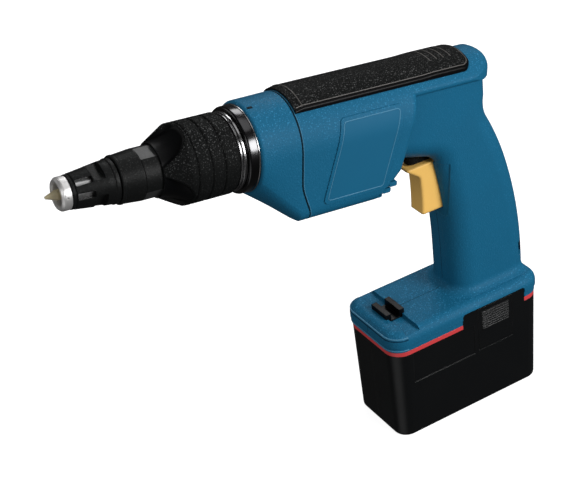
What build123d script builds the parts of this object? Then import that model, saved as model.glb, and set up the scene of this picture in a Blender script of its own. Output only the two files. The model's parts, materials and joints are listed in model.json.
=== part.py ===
"""Cordless drywall screwdriver with a depth-stop nose, standing on its battery pack.

Millimetres. +Z is up, +X points to the nose and +Y to the user's left. The origin is the centre of
the pack's base. The upper half is drawn in the spindle frame: its X axis is the spindle, its origin
is where the spindle passes the seam between housing and gear case, and TILT lifts its nose.
"""
import math
import os

from build123d import *

# Working gaps
FIT = 0.05  # shaft in its bush, on the radius
PASS_GAP = 0.3  # between pieces that move past each other
SEAT_GAP = 0.1  # round a fixed piece in its pocket
OPEN_GAP = 0.6  # round the trigger and the lever in the grip
BURY = 0.5  # how deep a piece is sunk into the one it is joined to

# Spindle frame in the standing frame
TILT = 7.2
SPINDLE_X = 108.0
SPINDLE_UP = 167.5  # origin over the foot's underside

# Motor tube and top rail of the housing, in the spindle frame
WALL = 2.8
BODY_R = 28.0  # round upper half, about the spindle
BODY_DROP = 46.0  # spindle to the flat underside
BODY_CORNER = 10.0
CHIN_ROUND = 28.0  # in the side view, where the gear case's slope meets the underside
CHIN_BITE = 0.15  # keeps that rounding from ending in a feather edge
BODY_FLOOR_LEN = 54.2  # flat underside, back from the seam
BODY_SIDE_LEN = 71.2  # back to the corner over the vents
BODY_SIDE_Z = -28.1
RAIL_START = 84.0  # where the rail leaves the motor tube
RAIL_Z = 14.0  # underside of the rail
RAIL_LEN = 146.5
RAIL_ROUND = 10.0  # rounded rear end of the rail
BODY_SOFT = 5.0  # rounding where the tube narrows to the grip
SOFT_SHARE = 0.4  # of the slope over the vents, the most that the rounding takes
SOFT_FLAT = 5.8  # of that slope stays flat
RAIL_SOFT = 3.0  # rounding along the rail's lower edges

# Label panel and vents on the motor tube
PANEL_PROUD = 0.7
PANEL_TOP = 15.2
PANEL_BOTTOM = -35.5
PANEL_LEN = 43.5
PANEL_BACK = 57.6  # lower rear corner, back from the seam
PANEL_SLANT = 14.0  # top edge stands this much further back
PANEL_ROUND = 3.0
VENT_COUNT = 3
VENT_PITCH = 5.4
VENT_W = 1.7
VENT_DEEP = 4.6
VENT_SPINE = 6.0  # solid strip along the middle, half width

# Grip, in the standing frame, with heights over the foot's underside
GRIP_HALF = 19.0
GRIP_EDGE = 14.0
GRIP_BACK_X = -58.0
GRIP_KNEE_UP = 25.4
GRIP_PALM = (-47.6, 101.4)
GRIP_NECK = (-35.4, 133.4)
GRIP_CREST = (-33.6, 150.4)
GRIP_FRONT_X = -0.5
GRIP_FRONT_UP = 41.4
GRIP_THROAT = (8.0, 119.4)
THROAT_ROUND = 10.0
WEB_FRONT = (52.0, 134.4)
GRIP_SINK = 5.0  # how far the grip runs up into the rail

# Battery pack
PACK_LEN = 118.0
PACK_W = 57.4
PACK_CORNER = 11.4
PACK_H = 67.3
PACK_DRAFT = 1.5
PACK_WALL = 1.8
PACK_FLOOR = 2.5
PACK_EDGE = 2.5
STRIPE_H = 3.0
STRIPE_W = 3.5
PACK_PANEL_DEPTH = 0.5
PACK_PANEL_H = 24.3  # down from the rim
PACK_PANEL_LEN = 49.0
PACK_PANEL_GAP = 3.0  # to the latch
EAR_FRONT = 5.0
EAR_REAR = -45.0
EAR_H = 11.2  # over the rim
EAR_T = 2.5
EAR_ROUND = 2.0
CAP_T = 2.5
CELL_R = 10.9
CELL_PITCH = 22.0
CELL_LEN = 42.5
CELL_Z = 7.0
CELL_ROWS = 2
CELL_COLUMNS = 5
CELL_CAP_R = 4.5
CELL_CAP_H = 1.2
LINK_T = 0.4
LINK_W = 8.0
TOWER_FRONT = -9.5
TOWER_REAR = -37.5
TOWER_HALF = 12.0
TOWER_H = 32.7  # over the rim
BLADE_SPACE = 14.0  # between the two contact blades
BLADE_W = 7.0
BLADE_T = 0.8
BLADE_LEN = 16.0
CONTACT_T = 0.6
CONTACT_LEN = 12.0
POCKET_SIDE = 1.0  # room beside a contact in its pocket

# Battery latches
LATCH_FRONT = -7.0
LATCH_REAR = -35.0
LATCH_SHY = 1.0  # down from the ear's top
LATCH_LEN = 33.5
LATCH_PIN_UP = 2.5  # over the tongue's lower end
LATCH_PIN_R = 0.6
LATCH_PIN_LEN = 2.0
LATCH_PRESS = 4.0  # degrees
PAD_LEN = 17.5  # thumb pad, down from the latch's top
PAD_RIBS = 8
PAD_RIB_H = 0.6
PAD_EDGE = 3.0

# Foot of the housing
FOOT_OVER_END = 1.25  # how far the foot stands over the pack
FOOT_OVER_SIDE = 0.8
FOOT_H = 13.9
FOOT_ROUND = 6.5
FOOT_STEP = 0.8
FOOT_STEP_H = 4.0
FLARE = 6.5
GROOVE_X = 43.5
GROOVE_W = 11.0
GROOVE_DEPTH = 2.4
CLIP_LEN = 17.0
CLIP_W = 14.0
CLIP_H = 3.6
CLIP_CHANNEL = 6.4
CLIP_FLOOR = 1.0

# Strap slot
SLOT_FRONT = -50.4
SLOT_REAR = -55.2
SLOT_UP = 25.4  # over the foot's underside
SLOT_H = 9.6
SLOT_FRAME = 3.0

# Housing screws, with heights over the foot's underside
SCREW_R = 1.75
SCREW_HEAD_R = 3.4
SCREW_HEAD_H = 2.4
SCREW_REACH = 11.0  # head and tip, either side of the middle
SCREW_BOSS_R = 5.0
CROSS_W = 1.0
CROSS_LEN = 3.6
FOOT_SCREW_IN = 9.25  # from the foot's ends
FOOT_SCREW_UP = 6.4
GRIP_SCREW = (-44.5, 51.4)
NECK_SCREW = (-21.0, 140.4)
TUBE_SCREW_FRONT = -20.0
TUBE_SCREW_REAR = -62.0
TUBE_SCREW_Z = 5.2

# Lid and bit tray, in the spindle frame
LID_GAP = 0.3
LID_T = 2.0
LID_FRONT = -1.5
LID_LEN = 125.5
LID_HALF = 18.0
LID_CORNER = 7.0
LID_BEVEL = 0.9
LID_BEVEL_LEN = 5.0
LID_BUMP = 0.4  # thumb rest at the rear
LID_BUMP_START = -88.0
LID_BUMP_TOP = -101.0
LID_BUMP_END = -116.0
LID_RIBS = 4
LID_RIB_D = 0.9
LID_RIB_PITCH = 5.0
LID_RIB_LEN = 4.2
LID_RIB_START = -97.0
LID_RIB_R = 60.0  # flatter than the lid, so that the ribs fade at their ends
LID_TRAVEL = 55.0
TRAY_FRONT = -12.0
TRAY_REAR = -118.0
TRAY_OPEN_HALF = 15.0
TRAY_HALF = 12.6
TRAY_Z = 11.5
TRAY_RIM = 21.0
TRAY_WALL = 1.5
HOOK_T = 1.4
HOOK_FOOT = 1.6
HOOK_FOOT_H = 1.2
HOOK_START = -116.0
RIB_T = 2.2
MOTOR_RIB = -44.0
TRAY_RIB = -100.0

# Gear case
CASE_LEN = 26.0
CASE_R = 27.7
CASE_WALL = 2.6
CASE_FRONT_WALL = 3.0
CASE_LIP = 2.0
CASE_SPANS = (0, 180, 205, 245, 295, 335, 360)  # degrees round the front rim
NECK_R = 20.5
NECK_END = 37.0
SPIGOT_R = 17.5
SPIGOT_END = 50.0
NECK_BORE = 11.2
BUSH_WALL = 3.0
BUSH_LEN = 6.0
PLATE_T = 4.0
CASE_SCREW_HIGH = (17.0, 14.0)
CASE_SCREW_LOW = (20.0, -31.0)
CASE_SCREW_R = 1.5
CASE_SCREW_HEAD_R = 2.8
CASE_SCREW_HEAD_H = 2.0
CASE_SCREW_LEN = 5.0
CASE_BOSS_R = 3.2
CASE_BOSS_LEN = 6.5

# Gears
MODULE = 0.8
PRESSURE = math.radians(25.0)
ADDENDUM = 0.85
DEDENDUM = 1.15
BACKLASH = 0.16
PINION_TEETH = 9
WHEEL_TEETH = 24
LAY_TEETH = 10
DRIVE_TEETH = 24
WHEEL_X = 2.3
WHEEL_W = 6.0
DRIVE_GAP = 1.0
DRIVE_W = 7.0
LAY_PIN_R = 2.0
JOURNAL_R = 2.5

# Clutch, spindle and bit, in the spindle frame
DOG_COUNT = 3
DOG_H = 2.5
DOG_IN = 6.0
DOG_OUT = 10.0
DOG_W = 5.0
DOG_GAP = 1.2
TAIL_R = 2.9
TAIL_LEN = 8.3
TAIL_WALL = 1.2
FLANGE_R = 10.5
FLANGE_T = 3.5
SPINDLE_R = 5.0
HOLDER_START = 62.0
HOLDER_END = 106.0
HOLDER_R = 6.0
SOCKET_DEPTH = 16.0
BIT_RING_X = 98.0
BIT_RING_W = 2.0
BIT_RING_T = 0.7
BIT_AF = 6.35
BIT_TIP_X = 146.5
BIT_LEN = 55.5
BIT_HEX_LEN = 32.0
BIT_NECK_R = 2.6
BIT_HEAD_R = 3.0
BIT_HEAD_LEN = 9.0
BIT_POINT_R = 0.8
BIT_TAPER_LEN = 6.5
FLUTE_W = 2.6
FLUTE_LEN = 12.0
FLUTE_TILT = 20.0
FLUTE_OFF = 2.7
SPARE_LEN = 25.0
SPARE_HEX_LEN = 13.0
SPARE_Y = 4.6
SPARE_TIPS = (-18.0, -50.0)

# Motor
MOTOR_DROP = 19.5
MOTOR_R = 18.5
MOTOR_WALL = 1.4
MOTOR_LEN = 46.0
SHAFT_R = 2.0
SHAFT_REAR = -57.5
MOTOR_BUSH_R = 4.0
MOTOR_BUSH_LEN = 5.5
CAN_FRONT_T = 1.7
CAP_BOSS_R = 7.0
END_CAP_T = 3.0
MAGNET_T = 3.2
MAGNET_LEN = 28.0
MAGNET_GAP = 7.5
CORE_LEN = 24.0
CORE_FRONT = -14.0
AIR_GAP = 0.6
CORE_SLOTS = 8
CORE_SLOT_W = 2.2
CORE_SLOT_DEPTH = 5.0
WINDING_IN = 5.0
WINDING_T = 3.4
WINDING_EDGE = 1.2
FAN_T = 1.0
FAN_W = 3.4
FAN_R = 12.4
FAN_HUB_R = 3.6
FAN_BLADES = 9
COMM_R = 6.0
COMM_W = 5.5
BRUSH_SIDE = 4.8
BRUSH_LEN = 7.0
BRUSH_BOX_T = 0.7
BRUSH_BOX_LEN = 6.6

# Collar and nosepiece, in the spindle frame
COLLAR_R = 25.8
COLLAR_END = 33.0
COLLAR_EDGE = 1.6
TRIM_R = 23.5
TRIM_EDGE = 0.8
CARRIER_R = 20.0
CARRIER_FLANGE_R = 22.5
CARRIER_FLANGE_T = 1.2
CARRIER_WALL_X = 52.0
CARRIER_WALL_T = 3.0
GUIDE_R = 11.5
GUIDE_BORE = 7.0
GUIDE_END = 96.0
ADJUST_R = 24.0
ADJUST_END = 68.0
ADJUST_NOSE_X = 82.0
ADJUST_NOSE_R = 16.6
ADJUST_SEAT_END = 57.0
ADJUST_BORE_START = 62.0
ADJUST_GROOVES = (47.3, 55.5, 64.2)
ADJUST_GROOVE_W = 1.2
ADJUST_GROOVE_D = 0.7
ADJUST_EDGE = 2.5
RECESSES = 3
RECESS_TURN = -11.5  # first recess, from the top of the nose
RECESS_BACK = 3.0  # reach behind the shoulder
RECESS_FRONT = 2.0  # widest place, behind the front edge
RECESS_HALF = 12.0
RECESS_DEPTH = 1.0
RECESS_NOSE_DEPTH = 0.45
SLEEVE_R = 15.0
SLEEVE_REAR = 60.0
SLEEVE_STRAIGHT = 92.0
SLEEVE_END = 106.0
SLEEVE_END_R = 13.8
SLEEVE_BORE_END = 99.0
SLEEVE_FLATS = 3
SLEEVE_FLAT_DEPTH = 1.0
SLEEVE_FLAT_LEN = 18.0
CONE_SPIGOT_R = 11.0
CONE_SPIGOT_LEN = 5.5
CONE_R = 13.2
CONE_END_R = 9.9
CONE_END = 134.0
CONE_GAP = 0.6
WINDOW_COUNT = 8
WINDOW_START = 120.0
WINDOW_LEN = 10.5
WINDOW_W = 3.8
NOTCHES = 3
NOTCH_TURN = -15.0  # first notch, from the top of the nose
NOTCH_START = 112.5
NOTCH_LEN = 6.5
NOTCH_HALF = 7.0
NOTCH_ROUND = 4.0
NOTCH_R = 10.4  # floor
LINER_R = 8.6
LINER_T = 1.0
LINER_START = 104.0
RING_R = 9.7
RING_END_R = 8.6
RING_END = 140.0
RING_BORE = 6.7
RING_CHAMFER = 1.2

# Trigger, switch and lever, with heights over the foot's underside
TRIGGER_X = 4.5
TRIGGER_UP = 98.9
TRIGGER_LEAN = 6.9
TRIGGER_HALF = 7.0
TRIGGER_TOP = 15.7
TRIGGER_LOW = -19.7
TRIGGER_FACE = 11.2
TRIGGER_HOLLOW = 10.7
TRIGGER_BEAK = 20.4
TRIGGER_BEAK_T = 1.2
TRIGGER_BEAK_H = 8.3
TRIGGER_REAR = -12.0
TRIGGER_TRAVEL = 6.0
TRIGGER_NECK = 4.0
TRIGGER_ROUND = 1.6
TRIGGER_BAY = 5.0  # shallow recess behind the trigger
TRIGGER_BAY_DROP = 9.0  # and below it
TRIGGER_BAY_DEPTH = 0.6
TRIGGER_BAY_ROUND = 5.0
PLUNGER_R = 2.5
PLUNGER_IN = 5.0
SWITCH_GAP = 1.0
SWITCH_LEN = 19.0
SWITCH_HALF = 10.0
SWITCH_TOP = 13.0
SWITCH_LOW = -18.0
SWITCH_EDGE = 1.0
SINK_T = 2.5
SINK_FINS = 4
SINK_FIN_T = 1.0
SINK_FIN_H = 2.0
CRADLE_T = 2.0
CRADLE_LEN = 12.0
LEVER_UP = 115.8
LEVER_T = 6.2
LEVER_PIVOT_X = -6.5
LEVER_TIP_X = 21.5
LEVER_HALF = 4.5
LEVER_PIN_R = 2.5
LEVER_PIN_H = 6.0
LEVER_EDGE = 0.8
LEVER_SHELF = 4.5
LEVER_ROOM = 5.6  # to each side, to swing in

# Terminals and leads
TERMINAL_H = 10.0
TERMINAL_GAP = 3.0
LEAD_R = 1.2
LEAD_BEND = 6.0
LEAD_SPACE = 4.0
LEAD_RISE = 18.0  # straight run out of a terminal
LEAD_MOTOR_Y = 10.0

ALONG = (Align.CENTER, Align.CENTER, Align.MIN)
FAR = 400.0  # longer than the tool

# Sizes that follow from the ones above
STRIPE_TOP = PACK_H + STRIPE_H
FOOT_Z = STRIPE_TOP + PASS_GAP
FOOT_TOP = FOOT_Z + FOOT_H
FOOT_LEN = PACK_LEN + 2 * FOOT_OVER_END
FOOT_W = PACK_W + 2 * FOOT_OVER_SIDE
FOOT_CORNER = PACK_CORNER + FOOT_OVER_SIDE
EAR_TOP = PACK_H + EAR_H
LATCH_TOP = EAR_TOP - LATCH_SHY
LATCH_Z = LATCH_TOP - LATCH_LEN
LATCH_PIN_Z = LATCH_Z + LATCH_PIN_UP
PAD_Z = LATCH_TOP - PAD_LEN
TOWER_TOP = PACK_H + TOWER_H
SLOT_Z = FOOT_Z + SLOT_UP
SPINDLE_Z = FOOT_Z + SPINDLE_UP
TRIGGER_Z = FOOT_Z + TRIGGER_UP
LEVER_Z = FOOT_Z + LEVER_UP
SPINDLE = Location((SPINDLE_X, 0, SPINDLE_Z), (0, -TILT, 0))
TRIGGER = Location((TRIGGER_X, 0, TRIGGER_Z), (0, TRIGGER_LEAN, 0))
UPRIGHT = Location((TRIGGER_X, 0, TRIGGER_Z))
TRIGGER_RISE = TRIGGER_TRAVEL * math.sin(math.radians(TRIGGER_LEAN))
LID_IN = BODY_R + LID_GAP
LID_OUT = LID_IN + LID_T
RAIL_HALF = math.sqrt((BODY_R - RAIL_SOFT)**2 - (RAIL_Z + RAIL_SOFT)**2) + RAIL_SOFT
LID_REAR = LID_FRONT - LID_LEN
STAGE_ONE = MODULE * (PINION_TEETH + WHEEL_TEETH) / 2
STAGE_TWO = MODULE * (LAY_TEETH + DRIVE_TEETH) / 2
LAY_Z = -(STAGE_TWO**2 - STAGE_ONE**2 + MOTOR_DROP**2) / (2 * MOTOR_DROP)
LAY_Y = math.sqrt(STAGE_TWO**2 - LAY_Z**2)
WHEEL_END = WHEEL_X + WHEEL_W
DRIVE_X = WHEEL_END + DRIVE_GAP
DRIVE_END = DRIVE_X + DRIVE_W
DOG_X = DRIVE_END + DOG_H + DOG_GAP
FLANGE_X = DOG_X + DOG_H
FLANGE_END = FLANGE_X + FLANGE_T
CAN_REAR = -PLATE_T - MOTOR_LEN
CAN_IN = MOTOR_R - MOTOR_WALL
CORE_R = CAN_IN - SEAT_GAP - MAGNET_T - AIR_GAP
CORE_REAR = CORE_FRONT - CORE_LEN
TOWER_X = (TOWER_FRONT + TOWER_REAR) / 2
LATCH_Y = PACK_W / 2
TERMINAL_Z = TOWER_TOP + TERMINAL_GAP


def block(x0, x1, y0, y1, z0, z1):
    """Box between two corners."""
    return Pos((x0 + x1) / 2, (y0 + y1) / 2, (z0 + z1) / 2) * Box(abs(x1 - x0), abs(y1 - y0), abs(z1 - z0))


def tube(x0, x1, outer, inner=0.0):
    """Round bar, or tube if it has a bore, along X."""
    place = Pos(x0, 0, 0) * Rot(0, 90, 0)
    bar = place * Cylinder(outer, x1 - x0, align=ALONG)
    if inner > 0:
        bar -= place * Cylinder(inner, x1 - x0, align=ALONG)
    return bar


def lathe(*points):
    """Solid turned about X from (x, radius) points."""
    return revolve(Plane.XZ * make_face(Polyline(*points, close=True)), Axis.X)


def group(shapes):
    """Separate solids that share one node."""
    return Compound(children=[solid for shape in shapes for solid in shape.solids()])


def stand_point(x, z):
    """Standing (x, z) of a point on the middle plane of the spindle frame."""
    lift = math.radians(TILT)
    return (SPINDLE_X + x * math.cos(lift) - z * math.sin(lift),
            SPINDLE_Z + x * math.sin(lift) + z * math.cos(lift))


def body_section(inset):
    """Cross-section of the motor tube: round over the spindle, square with soft corners below."""
    r = BODY_R - inset
    drop = BODY_DROP - inset
    outline = Circle(r) + Pos(0, -drop / 2) * Rectangle(2 * r, drop)
    return fillet(outline.vertices().group_by(Axis.Y)[0], BODY_CORNER - inset)


def tube_form(inset):
    """Motor tube with its slanted rear, moved in by inset and open at the seam if inset."""
    seam = 2 * inset
    top = BODY_R + BURY
    run = BODY_SIDE_LEN - BODY_FLOOR_LEN
    rise = BODY_DROP + BODY_SIDE_Z
    slant = (RAIL_START - BODY_SIDE_LEN) / (RAIL_Z - BODY_SIDE_Z)
    side = make_face(Polyline(
        (seam, top), (seam, -BODY_DROP - rise), (run - BODY_FLOOR_LEN, -BODY_DROP - rise),
        (-BODY_SIDE_LEN, BODY_SIDE_Z), (-RAIL_START - slant * (top - RAIL_Z), top), close=True))
    if inset > 0:
        side = offset(side, amount=-inset, kind=Kind.INTERSECTION)
    prism = extrude(Plane.XZ * side, amount=2 * BODY_R, both=True)
    core = extrude(Plane.YZ.offset(seam) * body_section(inset), amount=-RAIL_LEN - seam)
    return core & prism


def rail_form(inset):
    """Rail behind the motor tube, rounded at its rear end, moved in by inset."""
    low = RAIL_Z + inset
    top = BODY_R - inset
    outline = Circle(top) & Pos(0, low + BODY_R) * Rectangle(2 * BODY_R, 2 * BODY_R)
    if inset == 0:
        outline = fillet(outline.vertices(), RAIL_SOFT)
    bar = extrude(Plane.YZ.offset(-BODY_SIDE_LEN) * outline, amount=BODY_SIDE_LEN - RAIL_LEN)
    half = RAIL_HALF - inset
    turn = RAIL_ROUND - inset
    profile = make_face([
        Line((0, RAIL_Z), (half, RAIL_Z)), Line((half, RAIL_Z), (half, top - turn)),
        RadiusArc((half, top - turn), (half - turn, top), -turn), Line((half - turn, top), (0, top)),
        Line((0, top), (0, RAIL_Z))])
    cap = Pos(RAIL_HALF - RAIL_LEN, 0, 0) * revolve(Plane.XZ * profile, Axis.Z)
    return bar & (cap + block(RAIL_HALF - RAIL_LEN, 0, -BODY_R, BODY_R, RAIL_Z, BODY_R))


def softened_body():
    """Outer motor tube with its rear edges rounded, the rail, and the raised label panels."""
    form = tube_form(0)
    edges = [e for e in form.edges() if e.center().X < -BODY_FLOOR_LEN - BURY
             and (abs(e.center().Y) > GRIP_HALF or e.center().Z > RAIL_Z)]
    soft = min(BODY_SOFT, SOFT_SHARE * (BODY_SIDE_LEN - BODY_FLOOR_LEN - SOFT_FLAT))
    form = fillet(edges, soft) + rail_form(0)
    top = -PANEL_BACK - PANEL_SLANT
    outline = make_face(Polyline(
        (-PANEL_BACK, PANEL_BOTTOM), (PANEL_LEN - PANEL_BACK, PANEL_BOTTOM),
        (top + PANEL_LEN, PANEL_TOP), (top, PANEL_TOP), close=True))
    outline = fillet(outline.vertices(), PANEL_ROUND)
    panels = extrude(Plane.XZ * outline, amount=2 * BODY_R, both=True)
    skin = extrude(Plane.YZ * body_section(-PANEL_PROUD), amount=-BODY_SIDE_LEN - PANEL_SLANT)
    return form + (skin & panels)


def over_foot(point):
    """Standing (x, z) of a point whose height counts from the foot's underside."""
    return (point[0], FOOT_Z + point[1])


def rail_height(x):
    """Standing height inside the rail where the grip ends, at standing x."""
    lift = math.radians(TILT)
    return SPINDLE_Z + (x - SPINDLE_X) * math.tan(lift) + (RAIL_Z + GRIP_SINK) / math.cos(lift)


def grip_form(inset):
    """Grip and the web that joins it to the motor tube, moved in by inset."""
    low = FOOT_Z - FOOT_STEP_H
    heel = (GRIP_BACK_X, low)
    knee = over_foot((GRIP_BACK_X, GRIP_KNEE_UP))
    palm_end, neck_end, crest_end, throat_end, web_end = (
        over_foot(point) for point in (GRIP_PALM, GRIP_NECK, GRIP_CREST, GRIP_THROAT, WEB_FRONT))
    crown = (GRIP_CREST[0], rail_height(GRIP_CREST[0]))
    web_top = (WEB_FRONT[0], rail_height(WEB_FRONT[0]))
    toe = (GRIP_FRONT_X, low)
    shin = over_foot((GRIP_FRONT_X, GRIP_FRONT_UP))
    palm = TangentArc(knee, palm_end, tangent=(0, 1))
    neck = TangentArc(palm_end, neck_end, tangent=palm % 1)
    crest = TangentArc(neck_end, crest_end, tangent=neck % 1)
    finger = TangentArc(shin, throat_end, tangent=(0, 1))
    side = make_face([
        Line(heel, knee), palm, neck, crest, Line(crest_end, crown), Line(crown, web_top),
        Line(web_top, web_end), Line(web_end, throat_end), finger, Line(toe, shin), Line(toe, heel)])
    throat = side.vertices().sort_by_distance(Vector(*throat_end))[0]
    side = fillet(throat, THROAT_ROUND)
    if inset > 0:
        side = offset(side, amount=-inset, kind=Kind.INTERSECTION)
    half = GRIP_HALF - inset
    form = extrude(Plane.XZ * side, amount=half, both=True)
    edges = [e for e in form.edges() if abs(abs(e.center().Y) - half) < SEAT_GAP
             and e.center().Z < rail_height(GRIP_CREST[0]) - GRIP_SINK - BURY
             and e.center().X < WEB_FRONT[0] - 2 * GRIP_SINK and e.center().Z > low + inset + BURY]
    return fillet(edges, GRIP_EDGE - inset)


def foot_outline(inset):
    """Plan of the foot, moved in by inset."""
    return RectangleRounded(FOOT_LEN - 2 * inset, FOOT_W - 2 * inset, FOOT_CORNER - inset)


def housing_outer():
    """Whole outer form: motor tube, grip with its flared root, and foot."""
    grip = grip_form(0)
    slab = block(-FOOT_LEN, FOOT_LEN, -FOOT_W, FOOT_W, FOOT_Z, FOOT_TOP)
    flared = grip + slab
    root = [e for e in flared.edges() if abs(e.center().Z - FOOT_TOP) < SEAT_GAP
            and abs(e.center().Y) < GRIP_HALF + BURY and abs(e.center().X) < FOOT_LEN / 2 + FLARE]
    flared = fillet(root, FLARE)
    flat = extrude(Pos(0, 0, FOOT_Z) * foot_outline(FOOT_ROUND), amount=FOOT_TOP + 2 * FLARE - FOOT_Z)
    foot = extrude(Pos(0, 0, FOOT_Z) * foot_outline(0), amount=FOOT_TOP - FOOT_Z)
    foot = fillet(foot.edges().group_by(Axis.Z)[-1], FOOT_ROUND)
    skirt = extrude(Pos(0, 0, FOOT_Z) * (foot_outline(0) - foot_outline(FOOT_STEP)), amount=FOOT_STEP_H)
    below = block(-FOOT_LEN, FOOT_LEN, -FOOT_W, FOOT_W, 0, FOOT_Z)
    return (grip - below) + (foot - skirt) + (flared & flat) + SPINDLE * softened_body()


def housing_cavity():
    """Space inside the shells."""
    bay = extrude(foot_outline(WALL + FOOT_STEP), amount=FOOT_TOP - WALL)
    bay = fillet(bay.edges().group_by(Axis.Z)[-1], FOOT_ROUND - WALL)
    bay -= block(GROOVE_X - GROOVE_W / 2 - WALL, GROOVE_X + GROOVE_W / 2 + WALL, -FOOT_W, FOOT_W,
                 FOOT_TOP - GROOVE_DEPTH - WALL, FOOT_TOP)
    return grip_form(WALL) + bay + SPINDLE * (tube_form(WALL) + rail_form(WALL))


def screw_spots():
    """Standing (x, z) of each screw across the shells."""
    end = FOOT_LEN / 2 - FOOT_SCREW_IN
    spots = ((end, FOOT_SCREW_UP), (-end, FOOT_SCREW_UP), GRIP_SCREW, NECK_SCREW)
    return [over_foot(point) for point in spots] + [
        stand_point(x, TUBE_SCREW_Z) for x in (TUBE_SCREW_FRONT, TUBE_SCREW_REAR)]


def across(x, z, radius, y0, y1):
    """Round bar across the tool at standing (x, z)."""
    return Pos(x, y0, z) * Rot(-90, 0, 0) * Cylinder(radius, y1 - y0, align=ALONG)


def inner_ribs():
    """Cradles for the motor, tray, switch and terminals, before they are trimmed to the shells."""
    front = -PLATE_T - SEAT_GAP - RIB_T / 2
    bed = [block(x - RIB_T / 2, x + RIB_T / 2, -FAR, FAR, -FAR, TRAY_Z) for x in (front, MOTOR_RIB)]
    bed.append(block(TRAY_RIB - RIB_T / 2, TRAY_RIB + RIB_T / 2, -FAR, FAR, TRAY_Z - 2 * RIB_T, TRAY_Z))
    can = Pos(0, 0, -MOTOR_DROP) * tube(-FAR, 0, MOTOR_R + SEAT_GAP)
    ribs = [SPINDLE * (rib - can) for rib in bed]
    rear = TRIGGER_REAR - TRIGGER_TRAVEL - SWITCH_GAP
    middle = rear - SWITCH_LEN / 2
    for z in (SWITCH_LOW / 2, SWITCH_TOP / 2):
        for side in (-1, 1):
            pad = block(middle - CRADLE_LEN / 2, middle + CRADLE_LEN / 2,
                        side * (SWITCH_HALF + SINK_T + SINK_FIN_H), side * FAR, z, z + CRADLE_T)
            ribs.append(TRIGGER * pad)
    for z in (TERMINAL_Z, TERMINAL_Z + TERMINAL_H):
        for side in (-1, 1):
            ribs.append(block(TOWER_REAR, TOWER_FRONT, side * TOWER_HALF, side * FAR, z - CRADLE_T, z))
    shelf_z = LEVER_Z + LEVER_T + OPEN_GAP
    shelf = block(LEVER_PIVOT_X - LEVER_SHELF, LEVER_PIVOT_X + LEVER_SHELF, -FAR, FAR,
                  shelf_z, LEVER_Z + LEVER_T + LEVER_PIN_H)
    ribs.append(shelf - Pos(LEVER_PIVOT_X, 0, 0) * Cylinder(LEVER_PIN_R + FIT, FAR, align=ALONG))
    return ribs


def strap_frame(margin):
    """Bar across the grip round the strap slot, or the slot itself at no margin."""
    return block(SLOT_REAR - margin, SLOT_FRONT + margin, -FAR, FAR,
                 SLOT_Z - margin, SLOT_Z + SLOT_H + margin)


def ear_room(side, margin, outer):
    """Block with rounded top corners round the latch panel of the pack on one side, out to outer."""
    room = block(EAR_REAR - margin, EAR_FRONT + margin, side * (LATCH_Y - EAR_T - margin), side * outer,
                 PACK_H - BURY, EAR_TOP + margin)
    return fillet(room.edges().filter_by(Axis.Y).group_by(Axis.Z)[-1], EAR_ROUND + margin)


def trigger_bay():
    """Shallow recess in the grip round the trigger."""
    low = TRIGGER_LOW - TRIGGER_BAY_DROP
    plan = make_face(Polyline((-TRIGGER_BAY, low), (FAR, low), (FAR, TRIGGER_TOP),
                              (-TRIGGER_BAY, TRIGGER_TOP), close=True))
    plan = fillet(plan.vertices().group_by(Axis.X)[0].sort_by(Axis.Y)[0], TRIGGER_BAY_ROUND)
    prism = extrude(Plane.XZ * plan, amount=GRIP_HALF + BURY, both=True)
    return UPRIGHT * prism - grip_form(TRIGGER_BAY_DEPTH)


def housing_cuts():
    """Openings through the shells."""
    cuts = [strap_frame(0), trigger_bay(), ear_room(-1, PASS_GAP, FOOT_W), ear_room(1, PASS_GAP, FOOT_W)]
    half = TRIGGER_HALF + OPEN_GAP
    cuts.append(UPRIGHT * block(TRIGGER_REAR - TRIGGER_TRAVEL, TRIGGER_BEAK + OPEN_GAP, -half, half,
                                TRIGGER_LOW - OPEN_GAP, TRIGGER_TOP + TRIGGER_RISE + OPEN_GAP))
    half = LEVER_HALF + LEVER_ROOM
    cuts.append(block(LEVER_PIVOT_X, LEVER_TIP_X, -half, half,
                      TRIGGER_Z + TRIGGER_TOP, LEVER_Z + LEVER_T + OPEN_GAP))
    cuts.append(SPINDLE * block(TRAY_REAR, TRAY_FRONT, -TRAY_OPEN_HALF, TRAY_OPEN_HALF, TRAY_Z, FAR))
    cuts.append(block(GROOVE_X - GROOVE_W / 2, GROOVE_X + GROOVE_W / 2, -FOOT_W, FOOT_W,
                      FOOT_TOP - GROOVE_DEPTH, FOOT_TOP + FOOT_ROUND))
    slope = math.atan2(BODY_DROP + BODY_SIDE_Z, BODY_SIDE_LEN - BODY_FLOOR_LEN)
    for i in range(VENT_COUNT):
        along = (i - (VENT_COUNT - 1) / 2) * VENT_PITCH
        x = -(BODY_FLOOR_LEN + BODY_SIDE_LEN) / 2 - along * math.cos(slope)
        z = (BODY_SIDE_Z - BODY_DROP) / 2 + along * math.sin(slope)
        for side in (-1, 1):
            vent = block(x - VENT_DEEP, x + VENT_DEEP, side * VENT_SPINE, side * BODY_R * 2,
                         z - VENT_W / 2, z + VENT_W / 2)
            cuts.append(SPINDLE * vent)
    return cuts


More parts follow.
